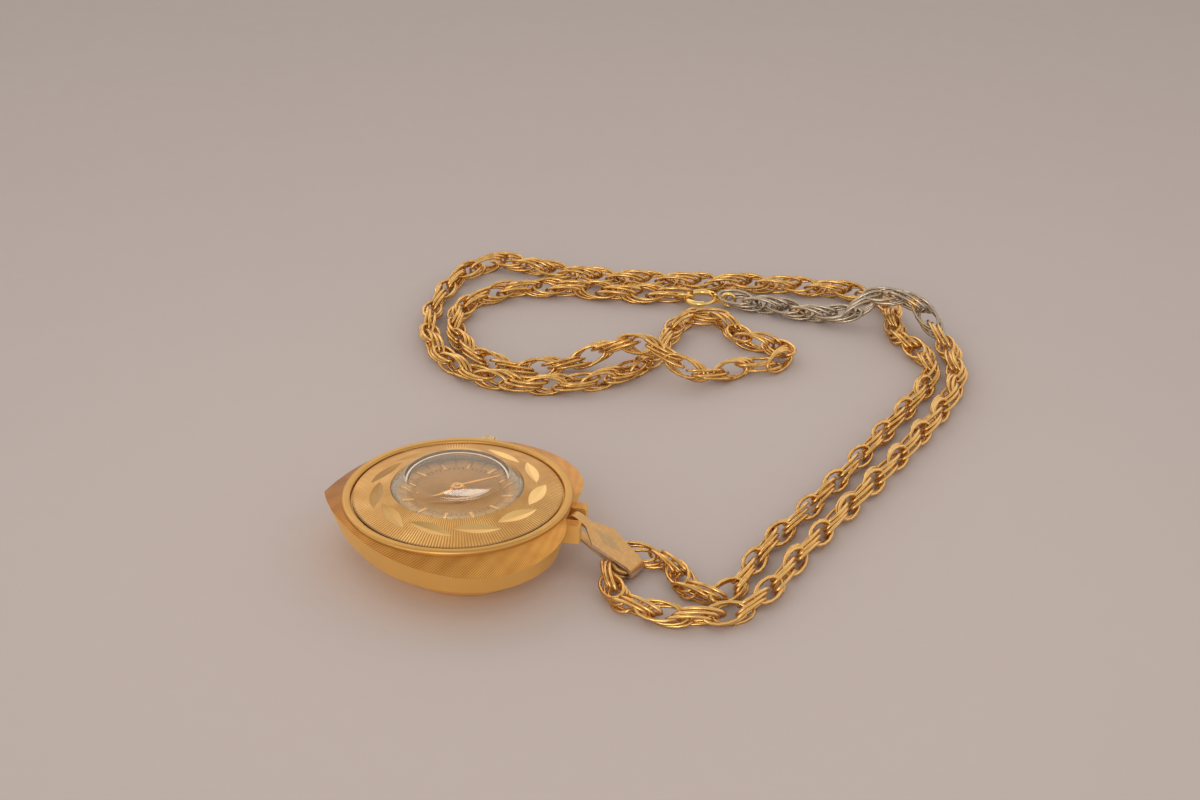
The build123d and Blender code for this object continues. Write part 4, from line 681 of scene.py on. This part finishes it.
def bail_finish():
    """Frosted rose gold leaf with rubbed silvery edges and a faint diamond in its middle."""
    rose = Finish("frosted_bail_gold")
    x, y, _ = rose.split()
    up = rose.split("Normal")[2]
    far = rose.calc("SUBTRACT", y, BAIL_HINGE_Y)
    lean_x, lean_y = BAIL_ALONG
    along = rose.calc("ADD", rose.calc("MULTIPLY", x, lean_x), rose.calc("MULTIPLY", far, lean_y))
    across = rose.calc("SUBTRACT", rose.calc("MULTIPLY", x, lean_y), rose.calc("MULTIPLY", far, lean_x))
    from_middle = rose.calc("ABSOLUTE", rose.calc("SUBTRACT", along, DIAMOND_ALONG))
    length_share, width_share = DIAMOND_SHARE_PER_METRE
    sideways = rose.calc("MULTIPLY", rose.calc("ABSOLUTE", across), width_share)
    diamond = rose.calc("ADD", rose.calc("MULTIPLY", from_middle, length_share), sideways)
    inside = rose.clamp_range(diamond, 0.75, 1.0, 1.0, 0.0)
    sand = rose.noise(2400, 4)
    frosted = rose.blend(sand, (0.60, 0.33, 0.12), (0.88, 0.54, 0.24))
    greyed = rose.blend(sand, (0.50, 0.31, 0.14), (0.70, 0.48, 0.25))
    leaf = rose.blend(rose.calc("MULTIPLY", inside, rose.clamp_range(up, 0.5, 0.8)), frosted, greyed)
    rubbed = rose.clamp_range(rose.calc("ABSOLUTE", up), 0.1, 0.35, 1.0, 0.0)
    worn = rose.calc("MULTIPLY", rubbed, rose.clamp_range(rose.noise(500, 3), 0.35, 0.55, 0.5, 1.0))
    rose.colour(rose.blend(worn, leaf, (0.80, 0.72, 0.63)))
    rose.metal()
    rose.roughness(rose.clamp_range(worn, 0.0, 1.0, 0.45, 0.3))
    rose.relief(sand, 0.012)
    return rose.material


def darkened_link_finish():
    """The two links in the fold, dulled brown by rubbing."""
    dull = Finish("darkened_fold_links")
    dull.colour(dull.blend(dull.noise(1100, 4), (0.36, 0.19, 0.06), (0.86, 0.56, 0.22)))
    dull.metal()
    dull.roughness(dull.uneven(1500, 2, 0.25, 0.45))
    dull.relief(dull.noise(2600, 3), 0.012)
    return dull.material


dress(("bail",), bail_finish())
dress(("fold_links",), darkened_link_finish())

# ---------------------------------------------------------------- movement


def plate_finish(name, dark, light, scale=900):
    """Nickel plate with a drawn grain."""
    plate = Finish(name)
    grain = plate.noise(scale, 4, (1, 14, 1))
    plate.colour(plate.blend(grain, dark, light))
    plate.metal()
    plate.roughness(plate.clamp_range(grain, *NOISE_RANGE, 0.26, 0.42))
    plate.relief(grain, 0.004)
    return plate.material


def wheel_finish(name, dark, light):
    """Wheel and lever metal with a fine mottle."""
    brass = Finish(name)
    fine = brass.noise(1600, 4)
    brass.colour(brass.blend(fine, dark, light))
    brass.metal()
    brass.roughness(brass.uneven(900, 2, 0.2, 0.36))
    brass.relief(fine, 0.003)
    return brass.material


RUBY_IOR = 1.76


def ruby_finish():
    """Clear red bearing stones."""
    ruby = Finish("ruby_bearing_stone")
    ruby.colour(ruby.blend(ruby.noise(2200, 2), (0.55, 0.02, 0.06), (0.80, 0.05, 0.12)))
    ruby.shader.inputs["IOR"].default_value = RUBY_IOR
    ruby.roughness(ruby.uneven(3000, 2, 0.04, 0.12))
    return ruby.material


dress(("main_plate", "barrel_bridge", "train_bridge", "balance_cock", "pallet_bridge"),
      plate_finish("nickel_movement_plates", (0.52, 0.50, 0.47), (0.74, 0.72, 0.69)))
dress(("movement_holder",), plate_finish("movement_ring_metal", (0.44, 0.43, 0.41), (0.62, 0.60, 0.58), 500))
dress(("center_wheel", "third_wheel", "fourth_wheel", "barrel", "balance_wheel",
       "minute_wheel", "hour_wheel"),
      wheel_finish("train_wheel_brass", (0.72, 0.48, 0.19), (0.90, 0.68, 0.34)))
dress(("bridge_screws", "escape_wheel", "mainspring", "ratchet_wheel", "crown_wheel", "click",
       "pallet_fork", "hairspring", "regulator", "stem", "winding_pinion", "clutch", "setting_lever",
       "yoke", "cannon_pinion"),
      wheel_finish("movement_polished_steel", (0.42, 0.42, 0.44), (0.64, 0.64, 0.66)))
dress(("jewels",), ruby_finish())

# ---------------------------------------------------------------- table and light

TABLE_WIDTH = 3.2
LIT_MIDDLE_Y = 20 * MM
LIT_REACH = (40 * MM, 250 * MM)
LAMP_COLOUR = (1.0, 0.96, 0.91)
ROOM_COLOUR = (1.0, 0.955, 0.91, 1.0)
# name, place, target and size in metres, and power in watts
LAMPS = (
    ("far_left_soft_box", (-0.4, -0.42, 0.5), (0, 0.01, 0), (0.5, 0.4), 0.33),
    ("front_soft_box", (0.62, -0.05, 0.12), (0, 0, 0), (0.26, 0.9), 1.5),
    ("far_window", (-0.46, -0.09, 0.37), (0, 0, 0), (0.1, 0.03), 0.026),
)


def table_top():
    """Warm pale grey table that the watch lies on, with a painted pool of light round the watch that darkens away
    from it, and a faint mottle.
    """
    half = TABLE_WIDTH / 2
    mesh = bpy.data.meshes.new("table_top")
    corners = [(-half, -half, 0), (half, -half, 0), (half, half, 0), (-half, half, 0)]
    mesh.from_pydata(corners, [], [(0, 1, 2, 3)])
    table = bpy.data.objects.new("table_top", mesh)
    SHEET.objects.link(table)
    paper = Finish("pale_table_paper")
    _, away = ring_angle(paper, LIT_MIDDLE_Y)
    # Painted light: the table is lighter near the watch and darker farther off, with a faint mottle over it.
    near_watch = paper.clamp_range(away, *LIT_REACH, 1.0, 0.0)
    painted_light_pool_and_mottle = paper.calc("MULTIPLY_ADD", near_watch, 0.85, paper.calc("MULTIPLY", paper.noise(9, 3), 0.15))
    paper.colour(paper.blend(painted_light_pool_and_mottle, (0.392, 0.342, 0.327), (0.592, 0.508, 0.480)))
    paper.roughness(paper.uneven(300, 3, 0.8, 0.95))
    paper.relief(paper.noise(1200, 3), 0.02)
    mesh.materials.append(paper.material)


def soft_box(name, place, target, size, power):
    """Oval diffused lamp, turned to its target."""
    lamp = bpy.data.lights.new(name, "AREA")
    lamp.shape = "ELLIPSE"
    lamp.size, lamp.size_y = size
    lamp.energy = power
    lamp.color = LAMP_COLOUR
    box = bpy.data.objects.new(name, lamp)
    box.location = place
    box.rotation_euler = (Vector(target) - Vector(place)).to_track_quat("-Z", "Y").to_euler()
    SHEET.objects.link(box)


def room_light():
    """Even pale room, a little darker on the camera's side and overhead."""
    world = bpy.data.worlds.new("pale_room")
    bpy.context.scene.world = world
    world.use_nodes = True
    room = Nodes(world.node_tree)
    ground = room.tree.nodes["Background"]
    direction = room.add("ShaderNodeTexCoord")
    parts = room.add("ShaderNodeSeparateXYZ")
    room.feed(parts.inputs[0], direction.outputs["Generated"])
    to_camera = room.clamp_range(parts.outputs[0], -1.0, 1.0, 1.0, 0.85)
    overhead = room.clamp_range(parts.outputs[2], 0.5, 1.0, 1.0, 0.55)
    room.feed(ground.inputs["Strength"], room.calc("MULTIPLY", to_camera, overhead))
    room.feed(ground.inputs["Color"], ROOM_COLOUR)


table_top()
for lamp_values in LAMPS:
    soft_box(*lamp_values)
room_light()

bpy.context.scene.view_settings.view_transform = "Standard"
